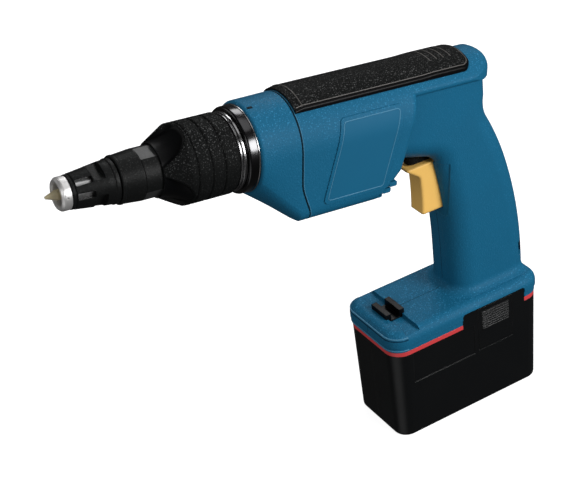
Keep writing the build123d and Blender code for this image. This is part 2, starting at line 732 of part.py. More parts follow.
def housing_pieces():
    """Left and right shells, and the screws that hold them together."""
    outer = housing_outer()
    cavity = housing_cavity()
    shell = outer - cavity
    fill = [strap_frame(SLOT_FRAME)] + inner_ribs()
    fill += [across(x, z, SCREW_BOSS_R, -FAR, FAR) for x, z in screw_spots()]
    for piece in fill:
        shell += piece & cavity & outer
    for cut in housing_cuts() + [SPINDLE * chin_cut()]:
        shell -= cut
    for x, z in screw_spots():
        shell -= across(x, z, SCREW_R + FIT, -FAR, SCREW_REACH + SEAT_GAP)
        shell -= across(x, z, SCREW_HEAD_R + SEAT_GAP, -FAR, -SCREW_REACH)
    left = shell & block(-FAR, FAR, 0, FAR, -FAR, FAR)
    right = shell & block(-FAR, FAR, -FAR, 0, -FAR, FAR)
    screws = []
    for x, z in screw_spots():
        screw = across(x, z, SCREW_R, -SCREW_REACH, SCREW_REACH)
        screw += across(x, z, SCREW_HEAD_R, -SCREW_REACH - SCREW_HEAD_H, -SCREW_REACH)
        face = -SCREW_REACH - SCREW_HEAD_H
        for long, wide in ((CROSS_LEN, CROSS_W), (CROSS_W, CROSS_LEN)):
            screw -= block(x - long / 2, x + long / 2, face, face + CROSS_W, z - wide / 2, z + wide / 2)
        screws.append(screw)
    return {"housing_left": left, "housing_right": right, "housing_screws": group(screws)}


def case_wire(x, radius, drop, corner):
    """Rear section of the gear case at x: round above, square with soft corners below."""
    low = corner - drop
    edges = [
        ThreePointArc((radius, 0), (0, radius), (-radius, 0)),
        Line((-radius, 0), (-radius, low)),
        RadiusArc((-radius, low), (corner - radius, -drop), -corner),
        Line((corner - radius, -drop), (radius - corner, -drop)),
        RadiusArc((radius - corner, -drop), (radius, low), -corner),
        Line((radius, low), (radius, 0))]
    return Plane.YZ.offset(x) * make_face(edges)


def case_ring(x, radius):
    """Front section of the gear case at x: a circle in the six spans that the rear section has."""
    edges = [CenterArc((0, 0), radius, a, b - a) for a, b in zip(CASE_SPANS, CASE_SPANS[1:])]
    return Plane.YZ.offset(x) * make_face(edges)


def case_screw_spots():
    """(y, z) of the screws that hold the gear plate to the gear case."""
    return [(side * y, z) for side in (-1, 1) for y, z in (CASE_SCREW_HIGH, CASE_SCREW_LOW)]


def chin_cut():
    """What the rounding under the seam takes off the gear case and the shells."""
    slope = math.atan2(BODY_DROP - CASE_R, CASE_LEN)
    reach = CHIN_ROUND * math.tan(slope / 2)
    rear = (-reach, -BODY_DROP)
    front = (reach * math.cos(slope), reach * math.sin(slope) - BODY_DROP)
    middle = (CHIN_ROUND * math.sin(slope / 2) - reach,
              CHIN_ROUND * (1 - math.cos(slope / 2)) - BODY_DROP + CHIN_BITE)
    low_rear = (rear[0], -2 * BODY_DROP)
    low_front = (front[0], -2 * BODY_DROP)
    side = make_face([ThreePointArc(rear, middle, front), Line(front, low_front), Line(low_front, low_rear),
                      Line(low_rear, rear)])
    return extrude(Plane.XZ * side, amount=2 * BODY_R, both=True)


def gear_case():
    """Gear case with the neck that carries the collar and the nosepiece."""
    form = loft([case_wire(0, BODY_R, BODY_DROP, BODY_CORNER), case_ring(CASE_LEN, CASE_R)])
    form = fillet(form.edges().group_by(Axis.X)[-1], CASE_LIP)
    room = loft([case_wire(-BURY, BODY_R - CASE_WALL, BODY_DROP - CASE_WALL, BODY_CORNER - CASE_WALL),
                 case_ring(CASE_LEN - CASE_FRONT_WALL, CASE_R - CASE_WALL)])
    case = form - room
    for y, z in case_screw_spots():
        boss = Pos(0, y, z) * tube(0, CASE_BOSS_LEN, CASE_BOSS_R)
        boss += block(0, CASE_BOSS_LEN, y, math.copysign(BODY_R, y), z - CASE_BOSS_R, z + CASE_BOSS_R)
        case += boss & form
    case += lathe((CASE_LEN - BURY, 0), (CASE_LEN - BURY, NECK_R), (NECK_END, NECK_R), (NECK_END, SPIGOT_R),
                  (SPIGOT_END, SPIGOT_R), (SPIGOT_END, 0))
    case -= tube(0, SPIGOT_END - BUSH_LEN, NECK_BORE)
    case -= tube(SPIGOT_END - BUSH_LEN, SPIGOT_END, SPINDLE_R + BUSH_WALL)
    case -= Pos(0, LAY_Y, LAY_Z) * tube(0, CASE_LEN - BURY, LAY_PIN_R)
    for y, z in case_screw_spots():
        case -= Pos(0, y, z) * tube(0, CASE_SCREW_LEN + BURY, CASE_SCREW_R)
    return case - chin_cut()


def gear_plate():
    """Plate that closes the gear case and carries the motor, the layshaft pin and the drive bush."""
    plate = extrude(Plane.YZ * body_section(WALL + SEAT_GAP), amount=-PLATE_T)
    plate -= tube(-PLATE_T, 0, JOURNAL_R + BUSH_WALL)
    plate -= Pos(0, 0, -MOTOR_DROP) * tube(-PLATE_T, 0, MOTOR_BUSH_R)
    plate -= Pos(0, LAY_Y, LAY_Z) * tube(-PLATE_T, 0, LAY_PIN_R)
    for y, z in case_screw_spots():
        plate -= Pos(0, y, z) * tube(-PLATE_T, 0, CASE_SCREW_R + FIT)
        plate -= Pos(0, y, z) * tube(-PLATE_T, CASE_SCREW_HEAD_H - PLATE_T, CASE_SCREW_HEAD_R + SEAT_GAP)
    return plate


def case_screws():
    """Countersunk screws from the plate into the gear case."""
    head_end = CASE_SCREW_HEAD_H - PLATE_T
    turned = tube(-PLATE_T, head_end, CASE_SCREW_HEAD_R) + tube(-PLATE_T, CASE_SCREW_LEN, CASE_SCREW_R)
    turned -= block(-PLATE_T, CROSS_W - PLATE_T, -CROSS_LEN / 2, CROSS_LEN / 2, -CROSS_W / 2, CROSS_W / 2)
    return group([Pos(0, y, z) * turned for y, z in case_screw_spots()])


def gear(teeth, x, width, aim):
    """Spur gear along X with one tooth at the angle aim, in radians from +Y towards +Z."""
    pitch_r = MODULE * teeth / 2
    base_r = pitch_r * math.cos(PRESSURE)
    root_r = pitch_r - DEDENDUM * MODULE
    tip_r = pitch_r + ADDENDUM * MODULE
    half = math.pi / (2 * teeth) - BACKLASH / (4 * pitch_r)

    def spread(radius):
        lean = math.acos(min(1.0, base_r / radius))
        return half + math.tan(PRESSURE) - PRESSURE - math.tan(lean) + lean

    radii = [root_r, pitch_r, tip_r] if root_r > base_r else [root_r, base_r, pitch_r, tip_r]
    flank = [(r, -spread(r)) for r in radii] + [(r, spread(r)) for r in reversed(radii)]
    points = []
    for k in range(teeth):
        centre = aim + 2 * math.pi * k / teeth
        points += [(r * math.cos(centre + a), r * math.sin(centre + a)) for r, a in flank]
    return extrude(Plane.YZ.offset(x) * make_face(Polyline(*points, close=True)), amount=width)


def dogs(x0, x1, turn):
    """Clutch dogs between x0 and x1, the first one at the angle turn."""
    dog = block(x0, x1, DOG_IN, DOG_OUT, -DOG_W / 2, DOG_W / 2)
    return [Rot(turn + i * 360 / DOG_COUNT, 0, 0) * dog for i in range(DOG_COUNT)]


def gear_pieces():
    """Gear case, its plate, bushes, pin, layshaft gear and drive gear."""
    motor_aim = math.atan2(LAY_Z + MOTOR_DROP, LAY_Y)
    drive_aim = math.atan2(-LAY_Z, -LAY_Y)
    wheel = gear(WHEEL_TEETH, WHEEL_X, WHEEL_W, motor_aim + math.pi + math.pi / WHEEL_TEETH)
    wheel += gear(LAY_TEETH, WHEEL_END - BURY, DRIVE_W + DRIVE_GAP - PASS_GAP, drive_aim)
    wheel -= tube(WHEEL_X, DRIVE_END, LAY_PIN_R + FIT)
    drive = gear(DRIVE_TEETH, DRIVE_X, DRIVE_W, drive_aim + math.pi + math.pi / DRIVE_TEETH)
    drive += tube(SEAT_GAP - PLATE_T, DRIVE_X + BURY, JOURNAL_R)
    drive -= tube(DRIVE_X + TAIL_WALL, DRIVE_END, TAIL_R + FIT)
    for dog in dogs(DRIVE_END - BURY, DRIVE_END + DOG_H, 0):
        drive += dog
    return {
        "gear_case": SPINDLE * gear_case(),
        "gear_plate": SPINDLE * gear_plate(),
        "gear_case_screws": SPINDLE * case_screws(),
        "layshaft_pin": SPINDLE * Pos(0, LAY_Y, LAY_Z) * tube(-PLATE_T, CASE_LEN - BURY, LAY_PIN_R),
        "drive_bush": SPINDLE * tube(-PLATE_T, 0, JOURNAL_R + BUSH_WALL, JOURNAL_R + FIT),
        "spindle_bush": SPINDLE * tube(SPIGOT_END - BUSH_LEN, SPIGOT_END, SPINDLE_R + BUSH_WALL,
                                       SPINDLE_R + FIT),
        "layshaft_gear": SPINDLE * Pos(0, LAY_Y, LAY_Z) * wheel,
        "drive_gear": SPINDLE * drive,
    }


def motor_pieces():
    """Brushed motor below the spindle: can, magnets, end cap, brushes, bushes and rotor."""
    seat = SPINDLE * Pos(0, 0, -MOTOR_DROP)
    can = tube(CAN_REAR, -PLATE_T, MOTOR_R, CAN_IN)
    can += tube(-PLATE_T - CAN_FRONT_T, -PLATE_T, CAN_IN + BURY, MOTOR_BUSH_R)
    magnet = tube(CORE_FRONT - CORE_LEN / 2 - MAGNET_LEN / 2, CORE_FRONT - CORE_LEN / 2 + MAGNET_LEN / 2,
                  CAN_IN - SEAT_GAP, CORE_R + AIR_GAP)
    magnet -= block(CAN_REAR, 0, -MOTOR_R, MOTOR_R, -MAGNET_GAP, MAGNET_GAP)
    cap_front = CAN_REAR + END_CAP_T / 2
    cap_rear = CAN_REAR - END_CAP_T / 2
    cap = tube(cap_rear, cap_front, CAN_IN - SEAT_GAP)
    cap += tube(cap_rear - MOTOR_BUSH_LEN, cap_rear + BURY, CAP_BOSS_R)
    cap -= tube(cap_rear - MOTOR_BUSH_LEN, cap_front, MOTOR_BUSH_R)
    bush = tube(0, MOTOR_BUSH_LEN, MOTOR_BUSH_R, SHAFT_R + FIT)
    comm_rear = cap_front + PASS_GAP
    comm = tube(comm_rear, comm_rear + COMM_W, COMM_R, SHAFT_R)
    brush_x = cap_front + BRUSH_BOX_T + SEAT_GAP
    brushes = []
    holders = []
    for side in (-1, 1):
        tip = COMM_R + PASS_GAP
        brushes.append(block(brush_x, brush_x + BRUSH_SIDE, side * tip, side * (tip + BRUSH_LEN),
                             -BRUSH_SIDE / 2, BRUSH_SIDE / 2))
        near = tip + SHAFT_R
        rim = BRUSH_SIDE / 2 + SEAT_GAP
        sleeve = block(cap_front, brush_x + BRUSH_SIDE + SEAT_GAP + BRUSH_BOX_T, side * near,
                       side * (near + BRUSH_BOX_LEN), -rim - BRUSH_BOX_T, rim + BRUSH_BOX_T)
        sleeve -= block(brush_x - SEAT_GAP, brush_x + BRUSH_SIDE + SEAT_GAP, side * near,
                        side * (near + BRUSH_BOX_LEN), -rim, rim)
        holders.append(sleeve)
    core = tube(CORE_REAR, CORE_FRONT, CORE_R, SHAFT_R)
    slot = block(CORE_REAR, CORE_FRONT, -CORE_SLOT_W / 2, CORE_SLOT_W / 2,
                 CORE_R - CORE_SLOT_DEPTH, CORE_R + BURY)
    for i in range(CORE_SLOTS):
        core -= Rot(i * 360 / CORE_SLOTS, 0, 0) * slot
    coil = tube(0, WINDING_T, CORE_R - AIR_GAP, WINDING_IN)
    coil = fillet(coil.edges().filter_by(GeomType.CIRCLE), WINDING_EDGE)
    fan_rear = CORE_FRONT + WINDING_T + AIR_GAP
    fan = tube(fan_rear, fan_rear + FAN_T, FAN_R, SHAFT_R)
    fan += tube(fan_rear, fan_rear + FAN_W, FAN_HUB_R, SHAFT_R)
    blade = block(fan_rear, fan_rear + FAN_W, -FAN_T / 2, FAN_T / 2, FAN_HUB_R - BURY, FAN_R - BURY)
    for i in range(FAN_BLADES):
        fan += Rot(i * 360 / FAN_BLADES, 0, 0) * blade
    aim = math.atan2(LAY_Z + MOTOR_DROP, LAY_Y)
    pinion = gear(PINION_TEETH, WHEEL_X - AIR_GAP, WHEEL_W + 2 * AIR_GAP, aim)
    pinion -= tube(WHEEL_X - AIR_GAP, WHEEL_END + AIR_GAP, SHAFT_R)
    pieces = {
        "motor_can": can,
        "motor_magnets": group([magnet]),
        "motor_end_cap": cap,
        "motor_bushes": group([Pos(x - MOTOR_BUSH_LEN, 0, 0) * bush for x in (cap_rear, 0)]),
        "motor_brushes": group(brushes),
        "brush_holders": group(holders),
        "rotor_core": core,
        "rotor_windings": group([Pos(CORE_FRONT, 0, 0) * coil, Pos(CORE_REAR - WINDING_T, 0, 0) * coil]),
        "commutator": comm,
        "motor_shaft": tube(SHAFT_REAR, WHEEL_END + AIR_GAP, SHAFT_R),
        "motor_fan": fan,
        "motor_pinion": pinion,
    }
    return {name: seat * shape for name, shape in pieces.items()}


def hex_bar(x0, x1, across_flats):
    """Hexagonal bar along X."""
    face = RegularPolygon(radius=across_flats / 2, side_count=6, major_radius=False)
    return extrude(Plane.YZ.offset(x0) * face, amount=x1 - x0)


def screw_bit(tip, length, hex_len):
    """Phillips bit with its point at x = tip."""
    heel = tip - length
    point = lathe((heel + hex_len - BURY, 0), (heel + hex_len - BURY, BIT_NECK_R),
                  (tip - BIT_HEAD_LEN - BURY, BIT_NECK_R), (tip - BIT_HEAD_LEN, BIT_HEAD_R),
                  (tip - BIT_TAPER_LEN, BIT_HEAD_R), (tip, BIT_POINT_R), (tip, 0))
    flute = Pos(tip, 0, FLUTE_OFF) * Rot(0, FLUTE_TILT, 0) * Rot(45, 0, 0) * Box(FLUTE_LEN, FLUTE_W, FLUTE_W)
    for i in range(4):
        point -= Rot(i * 90, 0, 0) * flute
    return hex_bar(heel, heel + hex_len, BIT_AF) + point


def spindle_pieces():
    """Sliding spindle with its clutch dogs and bit holder, the bit and the ring that holds it."""
    spindle = lathe((FLANGE_X - TAIL_LEN, 0), (FLANGE_X - TAIL_LEN, TAIL_R), (FLANGE_X, TAIL_R),
                    (FLANGE_X, FLANGE_R), (FLANGE_END, FLANGE_R), (FLANGE_END, SPINDLE_R),
                    (HOLDER_START, SPINDLE_R), (HOLDER_START, HOLDER_R), (HOLDER_END, HOLDER_R),
                    (HOLDER_END, 0))
    for dog in dogs(DOG_X, FLANGE_X + BURY, 180 / DOG_COUNT):
        spindle += dog
    spindle -= hex_bar(HOLDER_END - SOCKET_DEPTH, HOLDER_END, BIT_AF + 2 * FIT)
    groove = tube(BIT_RING_X, BIT_RING_X + BIT_RING_W, HOLDER_R + BURY, HOLDER_R - BIT_RING_T)
    spindle -= groove
    ring = tube(BIT_RING_X, BIT_RING_X + BIT_RING_W, HOLDER_R, HOLDER_R - BIT_RING_T)
    ring -= block(BIT_RING_X, BIT_RING_X + BIT_RING_W, -BIT_RING_W / 2, BIT_RING_W / 2, 0, HOLDER_R + BURY)
    bit = screw_bit(BIT_TIP_X, BIT_LEN, BIT_HEX_LEN)
    return {"spindle": SPINDLE * spindle, "bit_ring": SPINDLE * ring, "screw_bit": SPINDLE * bit}


def nose_pieces():
    """Collar on the neck, and the nosepiece: carrier, depth adjuster and stop."""
    collar = lathe((CASE_LEN, NECK_R), (CASE_LEN, COLLAR_R), (COLLAR_END, COLLAR_R), (COLLAR_END, NECK_R))
    rims = [e for e in collar.edges().filter_by(GeomType.CIRCLE) if abs(e.radius - COLLAR_R) < SEAT_GAP]
    collar = fillet(rims, COLLAR_EDGE)
    trim = lathe((COLLAR_END, NECK_R), (COLLAR_END, TRIM_R), (NECK_END, TRIM_R), (NECK_END, NECK_R))
    rims = [e for e in trim.edges().filter_by(GeomType.CIRCLE) if abs(e.radius - TRIM_R) < SEAT_GAP]
    trim = fillet(rims, TRIM_EDGE)
    back = NECK_END + PASS_GAP
    flange = back + CARRIER_FLANGE_T
    wall_end = CARRIER_WALL_X + CARRIER_WALL_T
    carrier = lathe((back, SPIGOT_R + FIT), (back, CARRIER_FLANGE_R), (flange, CARRIER_FLANGE_R),
                    (flange, CARRIER_R), (wall_end, CARRIER_R), (wall_end, GUIDE_R), (GUIDE_END, GUIDE_R),
                    (GUIDE_END, GUIDE_BORE), (CARRIER_WALL_X, GUIDE_BORE), (CARRIER_WALL_X, SPIGOT_R + FIT))
    bore = SLEEVE_R + PASS_GAP
    rear = flange + PASS_GAP
    adjuster = lathe((rear, CARRIER_R + FIT), (rear, ADJUST_R), (ADJUST_END, ADJUST_R),
                     (ADJUST_NOSE_X, ADJUST_NOSE_R), (ADJUST_NOSE_X, bore), (ADJUST_BORE_START, bore),
                     (ADJUST_SEAT_END, CARRIER_R + FIT))
    shoulder = [e for e in adjuster.edges().filter_by(GeomType.CIRCLE)
                if abs(e.radius - ADJUST_R) < SEAT_GAP and abs(e.center().X - ADJUST_END) < SEAT_GAP]
    adjuster = fillet(shoulder, ADJUST_EDGE)
    for x in ADJUST_GROOVES:
        adjuster -= lathe((x - ADJUST_GROOVE_W / 2, ADJUST_R + BURY), (x - ADJUST_GROOVE_W / 2, ADJUST_R),
                          (x, ADJUST_R - ADJUST_GROOVE_D), (x + ADJUST_GROOVE_W / 2, ADJUST_R),
                          (x + ADJUST_GROOVE_W / 2, ADJUST_R + BURY))
    back = ADJUST_END - RECESS_BACK
    skin = lathe((back, ADJUST_R - RECESS_DEPTH), (back, ADJUST_R + BURY), (ADJUST_NOSE_X + BURY, ADJUST_R + BURY),
                 (ADJUST_NOSE_X + BURY, ADJUST_NOSE_R - RECESS_NOSE_DEPTH))
    widest = ADJUST_NOSE_X - RECESS_FRONT
    plan = Pos(widest, 0) * Ellipse(widest - back, RECESS_HALF)
    recess = skin & extrude(plan, amount=ADJUST_R + BURY)
    for i in range(RECESSES):
        adjuster -= Rot(RECESS_TURN + i * 360 / RECESSES, 0, 0) * recess
    sleeve = lathe((SLEEVE_REAR, GUIDE_R + FIT), (SLEEVE_REAR, SLEEVE_R), (SLEEVE_STRAIGHT, SLEEVE_R),
                   (SLEEVE_END, SLEEVE_END_R), (SLEEVE_END, CONE_SPIGOT_R),
                   (SLEEVE_END + CONE_SPIGOT_LEN, CONE_SPIGOT_R), (SLEEVE_END + CONE_SPIGOT_LEN, LINER_R),
                   (SLEEVE_BORE_END, LINER_R), (SLEEVE_BORE_END, GUIDE_R + FIT))
    flat = block(SLEEVE_STRAIGHT - SLEEVE_FLAT_LEN, SLEEVE_STRAIGHT, -SLEEVE_R, SLEEVE_R,
                 SLEEVE_R - SLEEVE_FLAT_DEPTH, SLEEVE_R + BURY)
    for i in range(SLEEVE_FLATS):
        sleeve -= Rot(RECESS_TURN + i * 360 / SLEEVE_FLATS, 0, 0) * flat
    start = SLEEVE_END + CONE_GAP
    cone = lathe((start, CONE_SPIGOT_R), (start, CONE_R), (CONE_END, CONE_END_R), (CONE_END, LINER_R),
                 (SLEEVE_END + CONE_SPIGOT_LEN, LINER_R), (SLEEVE_END + CONE_SPIGOT_LEN, CONE_SPIGOT_R))
    window = block(WINDOW_START, WINDOW_START + WINDOW_LEN, -WINDOW_W / 2, WINDOW_W / 2,
                   LINER_R - BURY, CONE_R)
    for i in range(WINDOW_COUNT):
        cone -= Rot(i * 360 / WINDOW_COUNT, 0, 0) * window
    plan = Pos(NOTCH_START + NOTCH_LEN / 2, 0) * Rectangle(NOTCH_LEN, 2 * NOTCH_HALF)
    plan = fillet(plan.vertices().group_by(Axis.X)[-1], NOTCH_ROUND)
    notch = extrude(plan, amount=CONE_R + BURY) - tube(NOTCH_START, NOTCH_START + NOTCH_LEN, NOTCH_R)
    for i in range(NOTCHES):
        cone -= Rot(NOTCH_TURN + i * 360 / NOTCHES, 0, 0) * notch
    liner = tube(LINER_START, CONE_END, LINER_R, LINER_R - LINER_T)
    ring = lathe((CONE_END, RING_BORE), (CONE_END, RING_R), (RING_END - RING_CHAMFER, RING_R - BURY / 2),
                 (RING_END, RING_END_R), (RING_END, RING_BORE + BURY), (RING_END - RING_CHAMFER, RING_BORE))
    pieces = {"collar": collar, "collar_trim": trim, "nose_carrier": carrier, "depth_adjuster": adjuster,
              "stop_sleeve": sleeve, "stop_cone": cone, "stop_liner": liner, "stop_ring": ring}
    return {name: SPINDLE * shape for name, shape in pieces.items()}


def lid_pieces():
    """Sliding lid on the rail, and the tray of spare bits under it."""
    plan = Pos((LID_FRONT + LID_REAR) / 2, 0) * Rectangle(LID_LEN, 2 * LID_HALF)
    plan = fillet(plan.vertices().group_by(Axis.X)[0], LID_CORNER)
    top = LID_OUT + LID_BUMP
    skin = lathe((LID_FRONT, LID_IN), (LID_FRONT, LID_OUT - LID_BEVEL), (LID_FRONT - LID_BEVEL_LEN, LID_OUT),
                 (LID_BUMP_START, LID_OUT), (LID_BUMP_TOP, top), (LID_BUMP_END, top), (LID_REAR, LID_OUT),
                 (LID_REAR, LID_IN))
    lid = skin & extrude(plan, amount=top + BURY)
    for i in range(LID_RIBS):
        x = LID_RIB_START - i * LID_RIB_PITCH
        scoop = lathe((x, LID_RIB_R + BURY), (x, LID_RIB_R - LID_RIB_D), (x - LID_RIB_LEN, LID_RIB_R),
                      (x - LID_RIB_LEN, LID_RIB_R + BURY))
        lid -= Pos(0, 0, top - LID_RIB_R) * scoop & block(LID_REAR, LID_FRONT, -LID_HALF, LID_HALF, 0, FAR)
    hook_end = TRAY_FRONT - LID_TRAVEL - PASS_GAP
    reach = BODY_R - WALL - PASS_GAP
    for side in (-1, 1):
        outer = TRAY_OPEN_HALF - PASS_GAP
        web = block(HOOK_START, hook_end, side * (outer - HOOK_T), side * outer, RAIL_Z, LID_OUT)
        lid += web & tube(HOOK_START, hook_end, LID_IN + BURY, reach - HOOK_FOOT_H)
        foot = tube(HOOK_START, hook_end, reach, reach - HOOK_FOOT_H)
        lid += foot & block(HOOK_START, hook_end, side * (outer - HOOK_T), side * (outer + HOOK_FOOT), 0, FAR)
    tray = block(TRAY_REAR, TRAY_FRONT, -TRAY_HALF, TRAY_HALF, TRAY_Z, TRAY_RIM)
    tray -= block(TRAY_REAR + TRAY_WALL, TRAY_FRONT - TRAY_WALL, TRAY_WALL - TRAY_HALF, TRAY_HALF - TRAY_WALL,
                  TRAY_Z + TRAY_WALL, TRAY_RIM)
    lift = TRAY_Z + TRAY_WALL + BIT_AF / 2
    spare = screw_bit(0, SPARE_LEN, SPARE_HEX_LEN)
    bits = [Pos(x, side * SPARE_Y, lift) * spare for x in SPARE_TIPS for side in (-1, 1)]
    return {"top_lid": SPINDLE * lid, "bit_tray": SPINDLE * tray, "spare_bits": SPINDLE * group(bits)}


def spot(frame, x, y, z):
    """Standing place of a point given in another frame."""
    return (frame * Pos(x, y, z)).position


def lead(points):
    """Round wire along straight runs joined by arcs."""
    path = FilletPolyline(*points, radius=LEAD_BEND)
    return sweep(Plane(path @ 0, z_dir=path % 0) * Circle(LEAD_R), path=path)


def control_pieces():
    """Trigger, switch with its heat sink, direction lever, terminals and leads."""
    neck = (TRIGGER_FACE, TRIGGER_TOP - TRIGGER_BEAK_H)
    chin = (TRIGGER_FACE, TRIGGER_LOW)
    tip = (TRIGGER_BEAK, TRIGGER_TOP - TRIGGER_BEAK_T)
    rear = 2 * TRIGGER_REAR
    outline = make_face([
        Line((rear, TRIGGER_TOP), (TRIGGER_BEAK, TRIGGER_TOP)), Line((TRIGGER_BEAK, TRIGGER_TOP), tip),
        Line(tip, neck), ThreePointArc(neck, (TRIGGER_HOLLOW, (neck[1] + TRIGGER_LOW) / 2), chin),
        Line(chin, (rear, TRIGGER_LOW)), Line((rear, TRIGGER_LOW), (rear, TRIGGER_TOP))])
    outline = fillet(outline.vertices().sort_by_distance(Vector(*neck))[0], TRIGGER_NECK)
    trigger = extrude(Plane.XZ * outline, amount=TRIGGER_HALF, both=True)
    rims = [e for e in trigger.edges() if abs(abs(e.center().Y) - TRIGGER_HALF) < SEAT_GAP
            and e.center().X > TRIGGER_HOLLOW - SEAT_GAP and e.center().Z < TRIGGER_TOP - TRIGGER_BEAK_T]
    trigger = fillet(rims, min(TRIGGER_ROUND, TRIGGER_NECK / 2))
    trigger = Rot(0, -TRIGGER_LEAN, 0) * trigger & block(TRIGGER_REAR, FAR, -FAR, FAR, -FAR, FAR)
    front = TRIGGER_REAR - TRIGGER_TRAVEL - SWITCH_GAP
    trigger += tube(front - PLUNGER_IN, TRIGGER_REAR + BURY, PLUNGER_R)
    switch = block(front - SWITCH_LEN, front, -SWITCH_HALF, SWITCH_HALF, SWITCH_LOW, SWITCH_TOP)
    switch = fillet(switch.edges().filter_by(Axis.Y), SWITCH_EDGE)
    switch -= tube(front - PLUNGER_IN - TRIGGER_TRAVEL - SWITCH_GAP, front, PLUNGER_R + FIT)
    sink = block(front - SWITCH_LEN + SWITCH_EDGE, front - SWITCH_EDGE, -SWITCH_HALF - SINK_T, -SWITCH_HALF,
                 SWITCH_LOW + SWITCH_EDGE, SWITCH_TOP - SWITCH_EDGE)
    step = (SWITCH_LEN - 2 * SWITCH_EDGE - SINK_FIN_T) / (SINK_FINS - 1)
    for i in range(SINK_FINS):
        x = front - SWITCH_LEN + SWITCH_EDGE + i * step
        sink += block(x, x + SINK_FIN_T, -SWITCH_HALF - SINK_T - SINK_FIN_H, -SWITCH_HALF - SINK_T + SEAT_GAP,
                      SWITCH_LOW + SWITCH_EDGE, SWITCH_TOP - SWITCH_EDGE)
    lever = block(LEVER_PIVOT_X, LEVER_TIP_X, -LEVER_HALF, LEVER_HALF, LEVER_Z, LEVER_Z + LEVER_T)
    lever = fillet(lever.edges().filter_by(Axis.Z).group_by(Axis.X)[-1], LEVER_HALF - LEVER_EDGE)
    hub = Pos(LEVER_PIVOT_X, 0, LEVER_Z)
    lever += hub * Cylinder(LEVER_HALF, LEVER_T, align=ALONG)
    lever += hub * Cylinder(LEVER_PIN_R, LEVER_T + LEVER_PIN_H, align=ALONG)
    terminal = block(TOWER_REAR, TOWER_FRONT, -TOWER_HALF, TOWER_HALF, TERMINAL_Z, TERMINAL_Z + TERMINAL_H)
    blades = []
    supply = []
    motor = []
    middle = front - SWITCH_LEN / 2
    for side in (-1, 1):
        x = TOWER_X + side * BLADE_SPACE / 2
        blades.append(block(x - BLADE_W / 2, x + BLADE_W / 2, -BLADE_T / 2, BLADE_T / 2,
                            TERMINAL_Z - BLADE_LEN, TERMINAL_Z))
        start = TERMINAL_Z + TERMINAL_H
        foot = middle + side * LEAD_SPACE
        supply.append(lead([(x, 0, start), (x, 0, start + LEAD_RISE),
                            spot(TRIGGER, foot, 0, SWITCH_LOW - LEAD_RISE),
                            spot(TRIGGER, foot, 0, SWITCH_LOW + LEAD_R)]) - TRIGGER * switch)
        exit_x = front - 2 * LEAD_R
        rear = CAN_REAR - END_CAP_T / 2
        motor.append(lead([spot(TRIGGER, exit_x, side * LEAD_SPACE, SWITCH_TOP - LEAD_R),
                           spot(TRIGGER, exit_x, side * LEAD_SPACE, SWITCH_TOP + LEAD_RISE),
                           spot(SPINDLE, rear - LEAD_RISE, side * LEAD_MOTOR_Y, -MOTOR_DROP),
                           spot(SPINDLE, rear, side * LEAD_MOTOR_Y, -MOTOR_DROP)]) - TRIGGER * switch)
    return {
        "trigger": TRIGGER * trigger,
        "switch_body": TRIGGER * switch,
        "heat_sink": TRIGGER * sink,
        "direction_lever": lever,
        "terminal_block": terminal,
        "contact_blades": group(blades),
        "supply_leads": group(supply),
        "motor_leads": group(motor),
    }


def pack_outline(inset):
    """Plan of the pack at its rim, moved in by inset."""
    return RectangleRounded(PACK_LEN - 2 * inset, PACK_W - 2 * inset, PACK_CORNER - inset)


def pack_form(inset, floor):
    """Drafted body of the pack from floor to rim, moved in by inset."""
    return extrude(Pos(0, 0, PACK_H) * pack_outline(inset), amount=floor - PACK_H, taper=PACK_DRAFT)


def latch_pins(margin):
    """Pins that a latch tongue turns on, or their holes in the case if there is a margin."""
    lean = (PACK_H - LATCH_PIN_Z) * math.tan(math.radians(PACK_DRAFT))
    place = Pos(0, LATCH_Y - PACK_WALL / 2 - lean, LATCH_PIN_Z)
    ends = LATCH_PIN_LEN + margin
    return place * tube(LATCH_REAR - ends, LATCH_FRONT + ends, LATCH_PIN_R + margin)


def latch(side):
    """Latch tongue on one side of the pack, with its ribbed pad."""
    inner = LATCH_Y - EAR_T
    tongue = block(LATCH_REAR + PASS_GAP, LATCH_FRONT - PASS_GAP, inner, LATCH_Y,
                   LATCH_Z + PASS_GAP, LATCH_TOP)
    lean = PACK_H * math.tan(math.radians(PACK_DRAFT))
    face = Plane.YZ.offset(LATCH_REAR) * make_face(Polyline(
        (inner - lean, 0), (LATCH_Y - lean, 0), (LATCH_Y, PACK_H), (LATCH_Y, EAR_TOP), (inner, EAR_TOP),
        (inner, PACK_H), close=True))
    tongue = extrude(face, amount=LATCH_FRONT - LATCH_REAR) & (tongue + Pos(0, -lean, 0) * tongue)
    pad_step = (LATCH_TOP - PAD_Z - PAD_EDGE) / PAD_RIBS
    for i in range(PAD_RIBS):
        z = PAD_Z + i * pad_step + pad_step / 4
        tongue += block(LATCH_REAR + PAD_EDGE, LATCH_FRONT - PAD_EDGE, LATCH_Y - EAR_T / 2,
                        LATCH_Y + PAD_RIB_H, z, z + pad_step / 2)
    tongue += latch_pins(0)
    return tongue if side > 0 else mirror(tongue, Plane.XZ)


